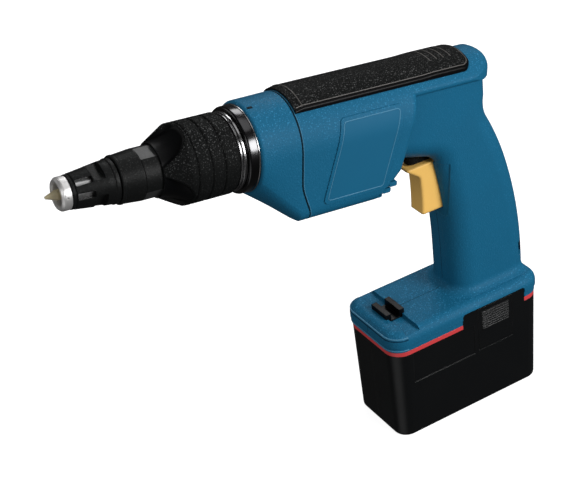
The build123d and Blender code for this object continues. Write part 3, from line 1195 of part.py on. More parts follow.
def battery_pieces():
    """Battery pack: case, cap with its tower, stripe, cells, links, contacts and latches."""
    case = pack_form(0, 0)
    case = fillet(case.edges().group_by(Axis.Z)[0], PACK_EDGE)
    case -= pack_form(PACK_WALL, PACK_FLOOR)
    panel = LATCH_FRONT + PACK_PANEL_GAP
    case -= block(panel, panel + PACK_PANEL_LEN, -FOOT_W, FOOT_W, PACK_H - PACK_PANEL_H, PACK_H) \
        - pack_form(PACK_PANEL_DEPTH, 0)
    holes = latch_pins(FIT)
    for side, hole in ((1, holes), (-1, mirror(holes, Plane.XZ))):
        case += ear_room(side, 0, LATCH_Y)
        case -= block(LATCH_REAR, LATCH_FRONT, side * (LATCH_Y - 2 * EAR_T), side * FOOT_W, LATCH_Z, FAR)
        case -= hole
    cap = extrude(Pos(0, 0, PACK_H) * pack_outline(STRIPE_W + SEAT_GAP), amount=CAP_T)
    cap += extrude(Pos(0, 0, PACK_H) * pack_outline(EAR_T + SEAT_GAP), amount=-CAP_T)
    swing = EAR_TOP * math.sin(math.radians(LATCH_PRESS))
    for side in (-1, 1):
        cap -= block(LATCH_REAR - PASS_GAP, LATCH_FRONT + PASS_GAP, side * (LATCH_Y - EAR_T - swing),
                     side * FOOT_W, 0, FAR)
    cap += block(TOWER_REAR, TOWER_FRONT, -TOWER_HALF, TOWER_HALF, PACK_H, TOWER_TOP)
    spring = BLADE_T / 2 + PASS_GAP
    contacts = []
    for side in (-1, 1):
        x = TOWER_X + side * BLADE_SPACE / 2
        half = BLADE_W / 2 + POCKET_SIDE
        depth = TERMINAL_Z - BLADE_LEN - POCKET_SIDE
        cap -= block(x - half, x + half, -spring - CONTACT_T, spring + CONTACT_T, depth, TOWER_TOP)
        for face in (-1, 1):
            contacts.append(block(x - BLADE_W / 2, x + BLADE_W / 2, face * spring,
                                  face * (spring + CONTACT_T), depth, depth + CONTACT_LEN))
    rim = pack_outline(0) - pack_outline(STRIPE_W)
    stripe = extrude(Pos(0, 0, PACK_H) * rim, amount=STRIPE_H)
    stripe -= block(EAR_REAR - SEAT_GAP, EAR_FRONT + SEAT_GAP, -FOOT_W, FOOT_W, PACK_H, STRIPE_TOP)
    cells = []
    links = []
    for row in range(CELL_ROWS):
        y = (row - (CELL_ROWS - 1) / 2) * CELL_PITCH
        for column in range(CELL_COLUMNS):
            x = (column - (CELL_COLUMNS - 1) / 2) * CELL_PITCH
            cell = Pos(x, y, CELL_Z) * Cylinder(CELL_R, CELL_LEN - CELL_CAP_H, align=ALONG)
            cells.append(cell + Pos(x, y, CELL_Z) * Cylinder(CELL_CAP_R, CELL_LEN, align=ALONG))
        for column in range(0, CELL_COLUMNS - 1, 2):
            x = (column - (CELL_COLUMNS - 1) / 2) * CELL_PITCH
            links.append(block(x, x + CELL_PITCH, y - LINK_W / 2, y + LINK_W / 2,
                               CELL_Z + CELL_LEN, CELL_Z + CELL_LEN + LINK_T))
            links.append(block(x + CELL_PITCH, x + 2 * CELL_PITCH, y - LINK_W / 2, y + LINK_W / 2,
                               CELL_Z - LINK_T, CELL_Z))
    return {
        "battery_case": case,
        "battery_cap": cap,
        "battery_stripe": group([stripe]),
        "battery_cells": group(cells),
        "cell_links": group(links),
        "battery_contacts": group(contacts),
        "latch_left": latch(1),
        "latch_right": latch(-1),
    }


def bit_clip():
    """Two-jaw clip for a bit, seated in the groove on the foot."""
    base = FOOT_TOP - GROOVE_DEPTH
    half = GROOVE_W / 2 - SEAT_GAP
    clip = block(GROOVE_X - half, GROOVE_X + half, -CLIP_LEN / 2, CLIP_LEN / 2, base, base + CLIP_FLOOR)
    for side in (-1, 1):
        inner = GROOVE_X + side * CLIP_CHANNEL / 2
        clip += block(inner, GROOVE_X + side * half, -CLIP_LEN / 2, CLIP_LEN / 2, base, FOOT_TOP + BURY)
        clip += block(inner, GROOVE_X + side * CLIP_W / 2, -CLIP_LEN / 2, CLIP_LEN / 2, FOOT_TOP, FOOT_TOP + CLIP_H)
    return clip


def main():
    """Writes one file for each piece."""
    os.makedirs("parts", exist_ok=True)
    pieces = {"bit_clip": bit_clip()}
    for make in (housing_pieces, gear_pieces, motor_pieces, spindle_pieces, nose_pieces, lid_pieces,
                 control_pieces, battery_pieces):
        pieces.update(make())
    for name, shape in pieces.items():
        export_step(shape, f"parts/{name}.step")


main()
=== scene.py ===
"""Looks of a cordless drywall screwdriver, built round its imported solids.

Sizes are in millimetres unless a name says otherwise, and meshes are written in metres. The spindle frame has
its X axis on the spindle, pointing to the nose, and its origin where the spindle passes the seam between the
housing and the gear case. A profile lists corners as steps from an end and a radius, each with its rounding.
"""
import json
import logging
import math
from collections.abc import Callable, Sequence
from dataclasses import dataclass, replace
from enum import Enum

import bmesh
import bpy
from mathutils import Matrix, Vector
from mathutils.bvhtree import BVHTree


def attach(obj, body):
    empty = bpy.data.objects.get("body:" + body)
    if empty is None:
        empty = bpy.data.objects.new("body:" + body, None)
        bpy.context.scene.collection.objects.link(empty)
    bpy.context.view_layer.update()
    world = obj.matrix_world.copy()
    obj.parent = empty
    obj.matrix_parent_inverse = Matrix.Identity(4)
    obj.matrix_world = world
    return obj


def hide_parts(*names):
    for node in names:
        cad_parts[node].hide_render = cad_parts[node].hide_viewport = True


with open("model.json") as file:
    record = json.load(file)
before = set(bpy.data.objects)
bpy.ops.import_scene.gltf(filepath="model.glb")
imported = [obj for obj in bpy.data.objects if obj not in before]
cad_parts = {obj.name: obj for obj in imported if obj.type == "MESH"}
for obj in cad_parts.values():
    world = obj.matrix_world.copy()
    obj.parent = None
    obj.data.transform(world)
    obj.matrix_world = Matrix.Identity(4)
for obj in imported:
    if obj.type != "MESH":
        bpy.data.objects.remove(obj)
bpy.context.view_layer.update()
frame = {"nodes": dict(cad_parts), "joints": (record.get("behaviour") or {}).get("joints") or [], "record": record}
LOG = logging.getLogger("screwdriver")
MM = 0.001
TURN = 2 * math.pi
SIDES = ((1, "left"), (-1, "right"))
Point = tuple[float, float]
Place = tuple[float, float, float]
Corner = tuple[float, float, float]
Colour = tuple[float, float, float]
Face = tuple[int, ...]
Ray = tuple[Vector, Vector]
Track = list[tuple[Vector, Vector]]
Warp = Callable[[float, float, float], float]
Belongs = Callable[[float, float, float], bool]


class Graph:
    """Adds nodes to a node tree and wires them."""

    def __init__(self, tree: bpy.types.NodeTree) -> None:
        """Keeps the tree that the nodes go into."""
        self.tree = tree

    def add(self, kind: str, sockets: dict | None = None, **settings: object) -> bpy.types.Node:
        """Adds one shader node.

        Args:
            kind: Blender's node type without its prefix.
            sockets: Inputs by name or number, each with a value or the output that feeds it.
            settings: Attributes of the node itself.

        Returns:
            The new node.
        """
        node = self.tree.nodes.new("ShaderNode" + kind)
        for name, value in settings.items():
            setattr(node, name, value)
        for name, value in (sockets or {}).items():
            self.feed(node.inputs[name], value)
        return node

    def feed(self, socket: bpy.types.NodeSocket, value: object) -> None:
        """Sets a socket's value, or links it to an output.

        Args:
            socket: The input.
            value: Its value, or the output that feeds it.
        """
        if isinstance(value, bpy.types.NodeSocket):
            self.tree.links.new(value, socket)
        else:
            socket.default_value = value

    def ramp(self, value: object, low: float, high: float, start: float = 0.0, end: float = 1.0) -> object:
        """Maps a value that runs from low to high onto start to end, and returns that output."""
        sockets = {"Value": value, "From Min": low, "From Max": high, "To Min": start, "To Max": end}
        return self.add("MapRange", sockets).outputs[0]

    def math(self, operation: str, first: object, second: object) -> object:
        """Adds a math node for two values and returns its output."""
        return self.add("Math", {0: first, 1: second}, operation=operation).outputs[0]

    def mix(self, share: object, first: object, second: object) -> object:
        """Mixes two colours by a share that changes over the surface, and returns that output."""
        return self.add("MixRGB", {"Fac": share, "Color1": first, "Color2": second}).outputs[0]

    def here(self) -> object:
        """Gives the place of a surface point on its own object."""
        return self.add("TexCoord").outputs["Object"]

    def noise(self, place: object, scale: object, detail: float, distortion: float = 0.0) -> object:
        """Adds cloudy noise at a place and returns its output."""
        sockets = {"Vector": place, "Scale": scale, "Detail": detail, "Distortion": distortion}
        return self.add("TexNoise", sockets).outputs[0]


class Effect(Enum):
    """Shader groups that the finishes share."""

    GRAIN = "moulded_grain"
    TURNING = "turning_lines"
    WEAR = "edge_wear"
    HANDLING = "handling_marks"
    SOFT_EDGE = "soft_edge"


class Effects:
    """Builds each shader group once and places it in materials."""

    bevel_samples: int = 6
    cell_depth: float = 0.5

    def __init__(self, tilt: float) -> None:
        """Builds the groups.

        Args:
            tilt: Angle of the spindle over the horizontal, in radians.
        """
        self.tilt = tilt
        makers = {Effect.GRAIN: self._grain, Effect.TURNING: self._turning, Effect.WEAR: self._wear,
                  Effect.HANDLING: self._handling, Effect.SOFT_EDGE: self._soft_edge}
        self.groups = {effect: maker() for effect, maker in makers.items()}

    def place(self, graph: Graph, effect: Effect, **values: float) -> bpy.types.Node:
        """Places a group in a material's graph, with values for its inputs, and returns the group node."""
        return graph.add("Group", dict(values), node_tree=self.groups[effect])

    @staticmethod
    def _start(effect: Effect, inputs: dict[str, float], *outputs: str,
               kind: str = "NodeSocketFloat") -> tuple[Graph, dict, Callable]:
        """Starts a group.

        Args:
            effect: Which group.
            inputs: Float inputs with their defaults.
            outputs: Names of the outputs.
            kind: Socket type of the outputs.

        Returns:
            The group's graph, its input sockets by name, and a function that wires its outputs.
        """
        tree = bpy.data.node_groups.new(effect.value, "ShaderNodeTree")
        for key, value in inputs.items():
            socket = tree.interface.new_socket(name=key, in_out="INPUT", socket_type="NodeSocketFloat")
            socket.default_value = value
        for key in outputs:
            tree.interface.new_socket(name=key, in_out="OUTPUT", socket_type=kind)
        source = tree.nodes.new("NodeGroupInput")
        sink = tree.nodes.new("NodeGroupOutput")
        graph = Graph(tree)

        def finish(**sockets: object) -> bpy.types.NodeTree:
            """Wires the outputs.

            Args:
                sockets: What feeds each output, by name.

            Returns:
                The finished group.
            """
            for key, socket in sockets.items():
                graph.feed(sink.inputs[key], socket)
            return tree

        return graph, {key: source.outputs[key] for key in inputs}, finish

    def _grain(self) -> bpy.types.NodeTree:
        """Builds the fine grain of a moulded surface.

        Returns:
            A group with a height, and a mask of bright specks on the high spots: partly grain tone, partly a
            painted highlight that is strongest where the surface looks up.
        """
        graph, given, finish = self._start(Effect.GRAIN, {"Scale": 1500.0}, "Height", "Speck")
        place = graph.here()
        cloud = graph.noise(place, given["Scale"], detail=3.0)
        cells = graph.add("TexVoronoi", {"Vector": place, "Scale": given["Scale"]}, feature="SMOOTH_F1")
        cell_share = graph.math("MULTIPLY", cells.outputs["Distance"], self.cell_depth)
        upward = graph.add("SeparateXYZ", {0: graph.add("NewGeometry").outputs["Normal"]}).outputs[2]
        # Painted highlight: the specks grow brighter on faces that look up, as if the top light made the grain
        # glint.
        lit = graph.ramp(upward, low=0.0, high=0.8, start=0.2, end=1.0)
        speck_and_glint = graph.math("MULTIPLY", graph.ramp(cloud, low=0.59, high=0.67), lit)
        return finish(Height=graph.math("ADD", cloud, cell_share), Speck=speck_and_glint)

    def _turning(self) -> bpy.types.NodeTree:
        """Builds the fine rings that a lathe leaves round the spindle.

        Returns:
            A group with a height and a mask of the bright rings.
        """
        graph, given, finish = self._start(Effect.TURNING, {"Scale": 4000.0}, "Height", "Speck")
        turning = {"Vector": graph.here(), "Angle": self.tilt}
        level = graph.add("VectorRotate", turning, rotation_type="Y_AXIS")
        along = graph.add("SeparateXYZ", {0: level.outputs[0]}).outputs[0]
        sockets = {"W": along, "Scale": given["Scale"], "Detail": 2.0}
        rings = graph.add("TexNoise", sockets, noise_dimensions="1D").outputs[0]
        return finish(Height=rings, Speck=graph.ramp(rings, low=0.5, high=0.75))

    def _wear(self) -> bpy.types.NodeTree:
        """Builds rubbed edges.

        Returns:
            A group with a mask that is strong on outer edges and broken up by patches.
        """
        graph, given, finish = self._start(Effect.WEAR, {"Radius": 0.0008, "Patches": 90.0}, "Mask")
        bent = graph.add("Bevel", {"Radius": given["Radius"]}, samples=self.bevel_samples).outputs[0]
        flat = graph.add("NewGeometry").outputs["Normal"]
        turned = graph.add("VectorMath", {0: bent, 1: flat}, operation="DOT_PRODUCT").outputs["Value"]
        edge = graph.ramp(turned, low=0.985, high=0.8)
        cloud = graph.noise(graph.here(), given["Patches"], detail=4.0)
        return finish(Mask=graph.math("MULTIPLY", edge, graph.ramp(cloud, low=0.35, high=0.65)))

    def _handling(self) -> bpy.types.NodeTree:
        """Builds broad soft patches where hands have polished or dulled the surface.

        Returns:
            A group with a mask of the patches.
        """
        graph, given, finish = self._start(Effect.HANDLING, {"Scale": 22.0}, "Mask")
        cloud = graph.noise(graph.here(), given["Scale"], detail=5.0, distortion=0.6)
        return finish(Mask=graph.ramp(cloud, low=0.32, high=0.7))

    def _soft_edge(self) -> bpy.types.NodeTree:
        """Builds a small rounding of every hard edge.

        Returns:
            A group with a normal.
        """
        graph, given, finish = self._start(
            Effect.SOFT_EDGE, {"Radius": 0.0004}, "Normal", kind="NodeSocketVector")
        bent = graph.add("Bevel", {"Radius": given["Radius"]}, samples=self.bevel_samples)
        return finish(Normal=bent.outputs[0])


@dataclass(frozen=True)
class Finish:
    """One surface finish, with its colour, gloss, grain with painted glints, and wear."""

    slot: str
    colour: Colour
    roughness: float
    metallic: float = 0.0
    specular: float = 0.5
    texture: Effect = Effect.GRAIN
    per_metre: float = 1500.0
    relief: float = 0.03
    # Share and tone of the bright grain specks, which are partly painted glints.
    speck_and_glint: float = 0.2
    speck_and_glint_tone: float = 1.8
    wear: float = 0.3
    worn_tone: float = 2.2
    handling: float = 0.25
    handled_tone: float = 0.8
    edge: float = 0.4
    spread: float = 0.06
    lift: float = 0.02

    def toned(self, factor: float) -> tuple[float, float, float, float]:
        """Gives the finish's colour made lighter or darker, with dark channels lifted where it is lighter."""
        lift = self.lift * max(0.0, factor - 1.0)
        return (*(min(1.0, channel * factor + lift) for channel in self.colour), 1.0)

    def material(self, effects: Effects) -> bpy.types.Material:
        """Builds the material.

        Args:
            effects: The shared shader groups.

        Returns:
            The new material, named after the finish's slot.
        """
        material = bpy.data.materials.new(self.slot)
        material.use_nodes = True
        graph = Graph(material.node_tree)
        shader = material.node_tree.nodes["Principled BSDF"]
        grain = effects.place(graph, self.texture, Scale=self.per_metre).outputs
        rubbed = effects.place(graph, Effect.WEAR, Radius=2 * self.edge * MM).outputs["Mask"]
        handled = effects.place(graph, Effect.HANDLING).outputs["Mask"]
        soft = effects.place(graph, Effect.SOFT_EDGE, Radius=self.edge * MM).outputs["Normal"]
        colour = self.toned(1.0)
        # The specks mix in a lighter tone: partly grain, partly painted glints that are strongest on upward faces.
        for mask, share, tone in ((grain["Speck"], self.speck_and_glint, self.speck_and_glint_tone),
                                  (handled, self.handling, self.handled_tone),
                                  (rubbed, self.wear, self.worn_tone)):
            colour = graph.mix(graph.math("MULTIPLY", mask, share), colour, self.toned(tone))
        bump = graph.add("Bump", {"Height": grain["Height"], "Distance": self.relief * MM, "Normal": soft})
        gloss = graph.ramp(handled, 0.0, 1.0, self.roughness - self.spread, self.roughness + self.spread)
        sockets = {"Base Color": colour, "Normal": bump.outputs[0], "Metallic": self.metallic,
                   "Roughness": gloss, "Specular IOR Level": self.specular}
        for name, value in sockets.items():
            graph.feed(shader.inputs[name], value)
        return material


BLUE: Colour = (0.0075, 0.107, 0.205)
BLACK: Colour = (0.006, 0.0065, 0.0065)
RINGS = Effect.TURNING
HOUSING = Finish("housing_blue", BLUE, 0.5, specular=0.1, per_metre=1200.0, relief=0.25, speck_and_glint=0.7,
                 speck_and_glint_tone=2.6, wear=0.2)
FINISHES = (
    HOUSING,
    replace(HOUSING, slot="case_blue"),
    Finish("label_blue", BLUE, 0.6, specular=0.12, relief=0.01, speck_and_glint=0.04, wear=0.1),
    # Lighter blue painted on thin edges as highlights.
    Finish("highlight_blue", (0.05, 0.2, 0.33), 0.45, specular=0.3, relief=0.01, speck_and_glint=0.1, wear=0.1),
    # Darker blue painted as the shadow under the foot ridge.
    Finish("shadow_blue", (0.003, 0.04, 0.085), 0.6, specular=0.1, relief=0.01, speck_and_glint=0.0, wear=0.0),
    Finish("seam_shadow", (0.001, 0.01, 0.018), 0.6, specular=0.1, relief=0.01, speck_and_glint=0.0, wear=0.0),
    Finish("grained_black", BLACK, 0.6, specular=0.05, per_metre=1300.0, relief=0.3, speck_and_glint=0.7,
           speck_and_glint_tone=7.0),
    Finish("nose_black", BLACK, 0.42, specular=0.12, per_metre=1300.0, relief=0.12, speck_and_glint=0.4,
           speck_and_glint_tone=4.0),
    # Lighter black painted on flats and crests as highlights.
    Finish("flat_highlight_black", (0.03, 0.031, 0.032), 0.4, per_metre=1400.0, relief=0.06, speck_and_glint=0.4),
    # Smooth black, also darker than the grained black as painted shade on walls and in recesses.
    Finish("smooth_black_and_shade", (0.002, 0.0022, 0.0025), 0.35, specular=0.1, relief=0.01, speck_and_glint=0.05),
    # Light grey painted on lid edges and crests as highlights.
    Finish("edge_highlight_black", (0.085, 0.079, 0.073), 0.45, relief=0.02, speck_and_glint=0.3),
    Finish("pack_black", (0.004, 0.0045, 0.005), 0.36, specular=0.3, relief=0.05, speck_and_glint=0.15),
    Finish("polished_black", (0.07, 0.07, 0.072), 0.2, metallic=1.0, texture=RINGS, relief=0.002, speck_and_glint=0.1,
           wear=0.1, spread=0.03),
    Finish("bright_trim", (0.3, 0.3, 0.305), 0.22, metallic=1.0, texture=RINGS, relief=0.003, spread=0.04),
    Finish("liner_steel", (0.6, 0.6, 0.6), 0.28, metallic=1.0, texture=RINGS, relief=0.004),
    Finish("stop_steel", (0.86, 0.85, 0.84), 0.4, metallic=0.8, texture=RINGS, relief=0.01, speck_and_glint=0.1),
    Finish("tool_steel", (0.34, 0.33, 0.32), 0.35, metallic=1.0, texture=RINGS, relief=0.008),
    Finish("screw_steel", (0.3, 0.29, 0.28), 0.4, metallic=1.0, relief=0.01, per_metre=2500.0),
    Finish("bit_gold", (0.9, 0.78, 0.5), 0.36, metallic=0.7, texture=RINGS, relief=0.005),
    Finish("trigger_ochre", (0.9, 0.54, 0.14), 0.4, specular=0.3, relief=0.02, speck_and_glint=0.08, wear=0.0,
           edge=2.2),
    Finish("stripe_red", (0.62, 0.05, 0.055), 0.35, relief=0.01, speck_and_glint=0.08),
    Finish("motor_steel", (0.4, 0.4, 0.39), 0.42, metallic=1.0, relief=0.01, per_metre=2200.0),
    Finish("magnet_grey", (0.06, 0.06, 0.065), 0.6, per_metre=2600.0),
    Finish("copper", (0.72, 0.3, 0.14), 0.32, metallic=1.0, per_metre=1800.0),
    Finish("bronze", (0.5, 0.33, 0.14), 0.4, metallic=1.0, relief=0.015, per_metre=2600.0),
    Finish("sink_aluminium", (0.7, 0.71, 0.72), 0.38, metallic=1.0, relief=0.01, per_metre=2400.0),
    Finish("inner_plastic", (0.03, 0.031, 0.033), 0.5, relief=0.02),
    Finish("lead_red", (0.42, 0.02, 0.02), 0.4, relief=0.01),
    Finish("brush_carbon", (0.02, 0.02, 0.021), 0.55, relief=0.02, per_metre=3000.0),
    Finish("cell_sleeve", (0.35, 0.37, 0.33), 0.35, relief=0.006),
)
OWN_FINISHES = {"bit_clip": "smooth_black_and_shade", "stop_liner": "liner_steel"}


class SpindleFrame:
    """Frame of the upper half: X along the spindle, origin at the seam."""

    def __init__(self) -> None:
        """Reads the place and the direction of the spindle from the drive gear's joint."""
        joint = next(j for j in frame["joints"] if j["name"] == "drive_spin")
        axis = Vector(joint["axis"]).normalized()
        self.tilt = math.atan2(axis.z, axis.x)
        turned = Matrix.Rotation(-self.tilt, 4, "Y")
        self.matrix = Matrix.Translation(Vector(joint["pos_m"])) @ turned
        self.back = self.matrix.inverted()
        self.stand = Matrix.Translation(Vector(joint["pos_m"]) / MM) @ turned

    def spot(self, x: float, y: float, z: float) -> Vector:
        """Gives the standing place of a point of the spindle frame."""
        return self.stand @ Vector((x, y, z))

    def polar(self, place: Vector) -> Place:
        """Gives the place along the spindle, the radius and the angle of a point that is given in metres."""
        spot = self.back @ place / MM
        return spot.x, math.hypot(spot.y, spot.z), math.atan2(spot.z, spot.y)

    def span(self, node: str) -> tuple[float, float, float, float]:
        """Measures a turned CAD node.

        Args:
            node: Name of the node.

        Returns:
            Its rear end, front end, least radius and largest radius.
        """
        spots = [self.polar(vertex.co) for vertex in frame["nodes"][node].data.vertices]
        places, radii, _ = zip(*spots)
        return min(places), max(places), min(radii), max(radii)


SIDE_SHARE = 0.49
STRAIGHT = math.pi - 0.01


def rounded(corners: Sequence[Corner], chords: int = 5) -> list[Point]:
    """Rounds the corners of a closed outline.

    Args:
        corners: Places of the corners, each with the radius of its rounding.
        chords: Number of chords in each rounding.

    Returns:
        The points of the rounded outline.
    """
    points: list[Point] = []
    for i, (x, y, radius) in enumerate(corners):
        here = Vector((x, y))
        before = Vector(corners[i - 1][:2]) - here
        after = Vector(corners[(i + 1) % len(corners)][:2]) - here
        angle = before.angle(after)
        if radius <= 0 or angle > STRAIGHT:
            points.append((x, y))
            continue
        reach = min(radius / math.tan(angle / 2), SIDE_SHARE * before.length, SIDE_SHARE * after.length)
        first = here + before.normalized() * reach
        last = here + after.normalized() * reach
        for k in range(chords + 1):
            t = k / chords
            points.append(tuple((1 - t)**2 * first + 2 * t * (1 - t) * here + t**2 * last))
    return points


def shifted(profile: Sequence[Corner], end: float, radius: float) -> list[Corner]:
    """Sets the corners of a profile at an end and a radius."""
    return [(end + along, radius + out, rounding) for along, out, rounding in profile]


def steps(start: float, end: float, size: float) -> list[float]:
    """Gives evenly spaced values from start to end, about size apart."""
    count = max(1, round(abs(end - start) / size))
    return [start + (end - start) * i / count for i in range(count + 1)]


def dense(points: Sequence[Point], longest: float) -> list[Point]:
    """Adds points to a closed outline.

    Args:
        points: Points of the outline.
        longest: Longest side allowed.

    Returns:
        The outline with the added points.
    """
    result: list[Point] = []
    for (x, y), (next_x, next_y) in zip(points, [*points[1:], points[0]]):
        count = max(1, math.ceil(math.hypot(next_x - x, next_y - y) / longest))
        result += [(x + (next_x - x) * k / count, y + (next_y - y) * k / count) for k in range(count)]
    return result


def smooth_step(value: float) -> float:
    """Eases a value from 0 to 1."""
    t = min(1.0, max(0.0, value))
    return t * t * (3 - 2 * t)


def net(rows: int, columns: int, start: int = 0, join_rows: bool = False,
        join_columns: bool = False) -> list[Face]:
    """Gives the faces of a net of points that stand row by row.

    Args:
        rows: Number of rows.
        columns: Number of points in each row.
        start: Number of the first point.
        join_rows: Whether the last row joins the first.
        join_columns: Whether each row runs back to its first point.

    Returns:
        The faces, with four points each.
    """
    faces: list[Face] = []
    for j in range(rows if join_rows else rows - 1):
        here, there = start + j * columns, start + (j + 1) % rows * columns
        for i in range(columns if join_columns else columns - 1):
            after = (i + 1) % columns
            faces.append((here + i, here + after, there + after, there + i))
    return faces


def tube(rings: int, count: int, start: int = 0) -> list[Face]:
    """Gives the faces of a tube with closed ends.

    Args:
        rings: Number of rings of points.
        count: Number of points in each ring.
        start: Number of the first point.

    Returns:
        The faces of its wall and its two ends.
    """
    last = start + (rings - 1) * count
    ends = [tuple(range(start, start + count)), tuple(range(last, last + count))]
    return net(rings, count, start, join_columns=True) + ends


def shade(mesh: bpy.types.Mesh, crease: float) -> None:
    """Shades a mesh smooth, with edges above an angle in degrees left sharp."""
    mesh.shade_smooth()
    mesh.set_sharp_from_angle(angle=math.radians(crease))


def mesh_piece(name: str, spots: Sequence[Sequence[float]], faces: Sequence[Face],
               place: Matrix | None = None, crease: float = 32.0) -> bpy.types.Object:
    """Makes a mesh object from points in millimetres.

    Args:
        name: Name of the piece.
        spots: Points of the mesh.
        faces: Faces as numbers of points.
        place: Frame that the points are given in, or None for the standing frame.
        crease: Angle in degrees above which an edge stays sharp.

    Returns:
        The new object, linked into the scene.
    """
    mesh = bpy.data.meshes.new(name)
    mesh.from_pydata([Vector(spot) * MM for spot in spots], [], faces)
    shaper = bmesh.new()
    shaper.from_mesh(mesh)
    bmesh.ops.recalc_face_normals(shaper, faces=shaper.faces)
    shaper.to_mesh(mesh)
    shaper.free()
    if place is not None:
        mesh.transform(place)
    shade(mesh, crease)
    piece = bpy.data.objects.new(name, mesh)
    bpy.context.scene.collection.objects.link(piece)
    return piece


def carve(piece: bpy.types.Object, cutters: Sequence[bpy.types.Object], crease: float = 32.0) -> None:
    """Cuts pieces out of another one and removes them.

    Args:
        piece: The piece that is cut.
        cutters: What is cut out of it.
        crease: Angle in degrees above which an edge stays sharp.
    """
    for cutter in cutters:
        cut = piece.modifiers.new("cut", "BOOLEAN")
        cut.object = cutter
        cut.operation = "DIFFERENCE"
        cut.solver = "EXACT"
    shown = piece.evaluated_get(bpy.context.evaluated_depsgraph_get())
    mesh = bpy.data.meshes.new_from_object(shown)
    piece.modifiers.clear()
    piece.data = mesh
    shade(mesh, crease)
    for cutter in cutters:
        bpy.data.objects.remove(cutter)


def ray(start: Place, aim: Place) -> Ray:
    """Gives a ray from a start towards a point."""
    return Vector(start), Vector(aim)


class Surface:
    """Outer surface of some CAD nodes, on which fine forms are laid."""

    def __init__(self, *nodes: str) -> None:
        """Collects the faces of the nodes.

        Args:
            nodes: Names of the nodes.
        """
        spots: list[Vector] = []
        faces: list[list[int]] = []
        for node in nodes:
            mesh = frame["nodes"][node].data
            start = len(spots)
            spots += [vertex.co / MM for vertex in mesh.vertices]
            faces += [[start + i for i in face.vertices] for face in mesh.polygons]
        self.tree = BVHTree.FromPolygons(spots, faces)

    def track(self, rays: Sequence[Ray]) -> Track:
        """Finds where rays meet the surface.

        Args:
            rays: Start of each ray outside the surface, and a point that it goes towards.

        Returns:
            The place and the outward normal of each hit.
        """
        found: Track = []
        for origin, aim in rays:
            direction = (aim - origin).normalized()
            place, normal, _, _ = self.tree.ray_cast(origin, direction)
            if place is not None:
                found.append((place, normal if normal.dot(direction) < 0 else -normal))
        return found


@dataclass(frozen=True)
class Ridge:
    """Width and height of a small rounded ridge, and its section as shares of them."""

    width: float
    height: float
    section: tuple[Point, ...] = (
        (-0.5, -0.3), (-0.42, 0.45), (-0.2, 0.9), (0.0, 1.0), (0.2, 0.9), (0.42, 0.45), (0.5, -0.3))
    crease: float = 60.0

    def lay(self, name: str, tracks: Sequence[Track], closed: bool = False) -> bpy.types.Object:
        """Lays ridges along tracks on a surface.

        Args:
            name: Name of the piece.
            tracks: Places on the surface with their normals, for each ridge.
            closed: Whether the tracks run back to their starts.

        Returns:
            The new piece.
        """
        rows = len(self.section)
        spots: list[Vector] = []
        faces: list[Face] = []
        for track in tracks:
            count = len(track)
            start = len(spots)
            for i, (place, normal) in enumerate(track):
                before = track[i - 1 if closed else max(i - 1, 0)][0]
                after = track[(i + 1) % count if closed else min(i + 1, count - 1)][0]
                side = normal.cross((after - before).normalized()).normalized() * self.width
                spots += [place + side * across + normal * up * self.height for across, up in self.section]
            wrapped = net(count, rows, start, join_rows=True, join_columns=True)
            faces += wrapped if closed else tube(count, rows, start)
        return mesh_piece(name, spots, faces, crease=self.crease)


class Workshop:
    """What every sub-assembly shares: the spindle frame, the finishes and the way a piece is put in place."""

    def __init__(self) -> None:
        """Measures the spindle frame and builds the materials."""
        self.spindle = SpindleFrame()
        effects = Effects(self.spindle.tilt)
        self.materials = {finish.slot: finish.material(effects) for finish in FINISHES}

    def dress_solids(self) -> None:
        """Gives every CAD node the material of its slot, or a finish of its own."""
        for part in frame["record"]["subparts"]:
            node = frame["nodes"][part["node"]]
            if not node.material_slots:
                node.data.materials.append(None)
            finish = OWN_FINISHES.get(part["node"], part["material_slot"])
            for holder in node.material_slots:
                holder.material = self.materials[finish]
            LOG.info("%s wears %s", part["node"], finish)

    def keep(self, piece: bpy.types.Object, body: str, slot: str, *nodes: str, finish: str = "") -> None:
        """Puts a finished piece on its body.

        Args:
            piece: The piece.
            body: CAD body that carries it.
            slot: Material slot that it takes its finish from.
            nodes: CAD nodes that it stands for.
            finish: Name of a finish of its own, where it differs from the slot's.
        """
        piece.data.materials.clear()
        piece.data.materials.append(self.materials[finish or slot])
        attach(piece, body)
        if nodes:
            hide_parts(*nodes)
        LOG.info("%s rides on %s with %s", piece.name, body, slot)

    def turned(self, name: str, outline: Sequence[Point], warp: Warp | None = None,
               segments: int = 180) -> bpy.types.Object:
        """Turns a closed outline about the spindle.

        Args:
            name: Name of the piece.
            outline: Points along the spindle and their radii.
            warp: Gives a radius from a place along the spindle, a radius and an angle from +Y towards +Z.
            segments: Steps round the spindle.

        Returns:
            The new piece.
        """
        spots = []
        for angle in steps(0.0, TURN, TURN / segments)[:-1]:
            for x, radius in outline:
                reach = warp(x, radius, angle) if warp else radius
                spots.append((x, reach * math.cos(angle), reach * math.sin(angle)))
        faces = net(segments, len(outline), join_rows=True, join_columns=True)
        return mesh_piece(name, spots, faces, self.spindle.matrix)

    def split_off(self, piece: bpy.types.Object, name: str, belongs: Belongs) -> bpy.types.Object:
        """Moves some faces of a piece into a piece of their own.

        Args:
            piece: The piece that loses the faces.
            name: Name of the new piece.
            belongs: Tells from the place along the spindle, the radius and the angle of a face's middle
                whether it moves.

        Returns:
            The new piece.
        """
        part = bpy.data.objects.new(name, piece.data.copy())
        bpy.context.scene.collection.objects.link(part)
        for holder, wanted in ((piece, False), (part, True)):
            shaper = bmesh.new()
            shaper.from_mesh(holder.data)
            others = [face for face in shaper.faces
                      if belongs(*self.spindle.polar(face.calc_center_median())) != wanted]
            bmesh.ops.delete(shaper, geom=others, context="FACES")
            shaper.to_mesh(holder.data)
            shaper.free()
        return part


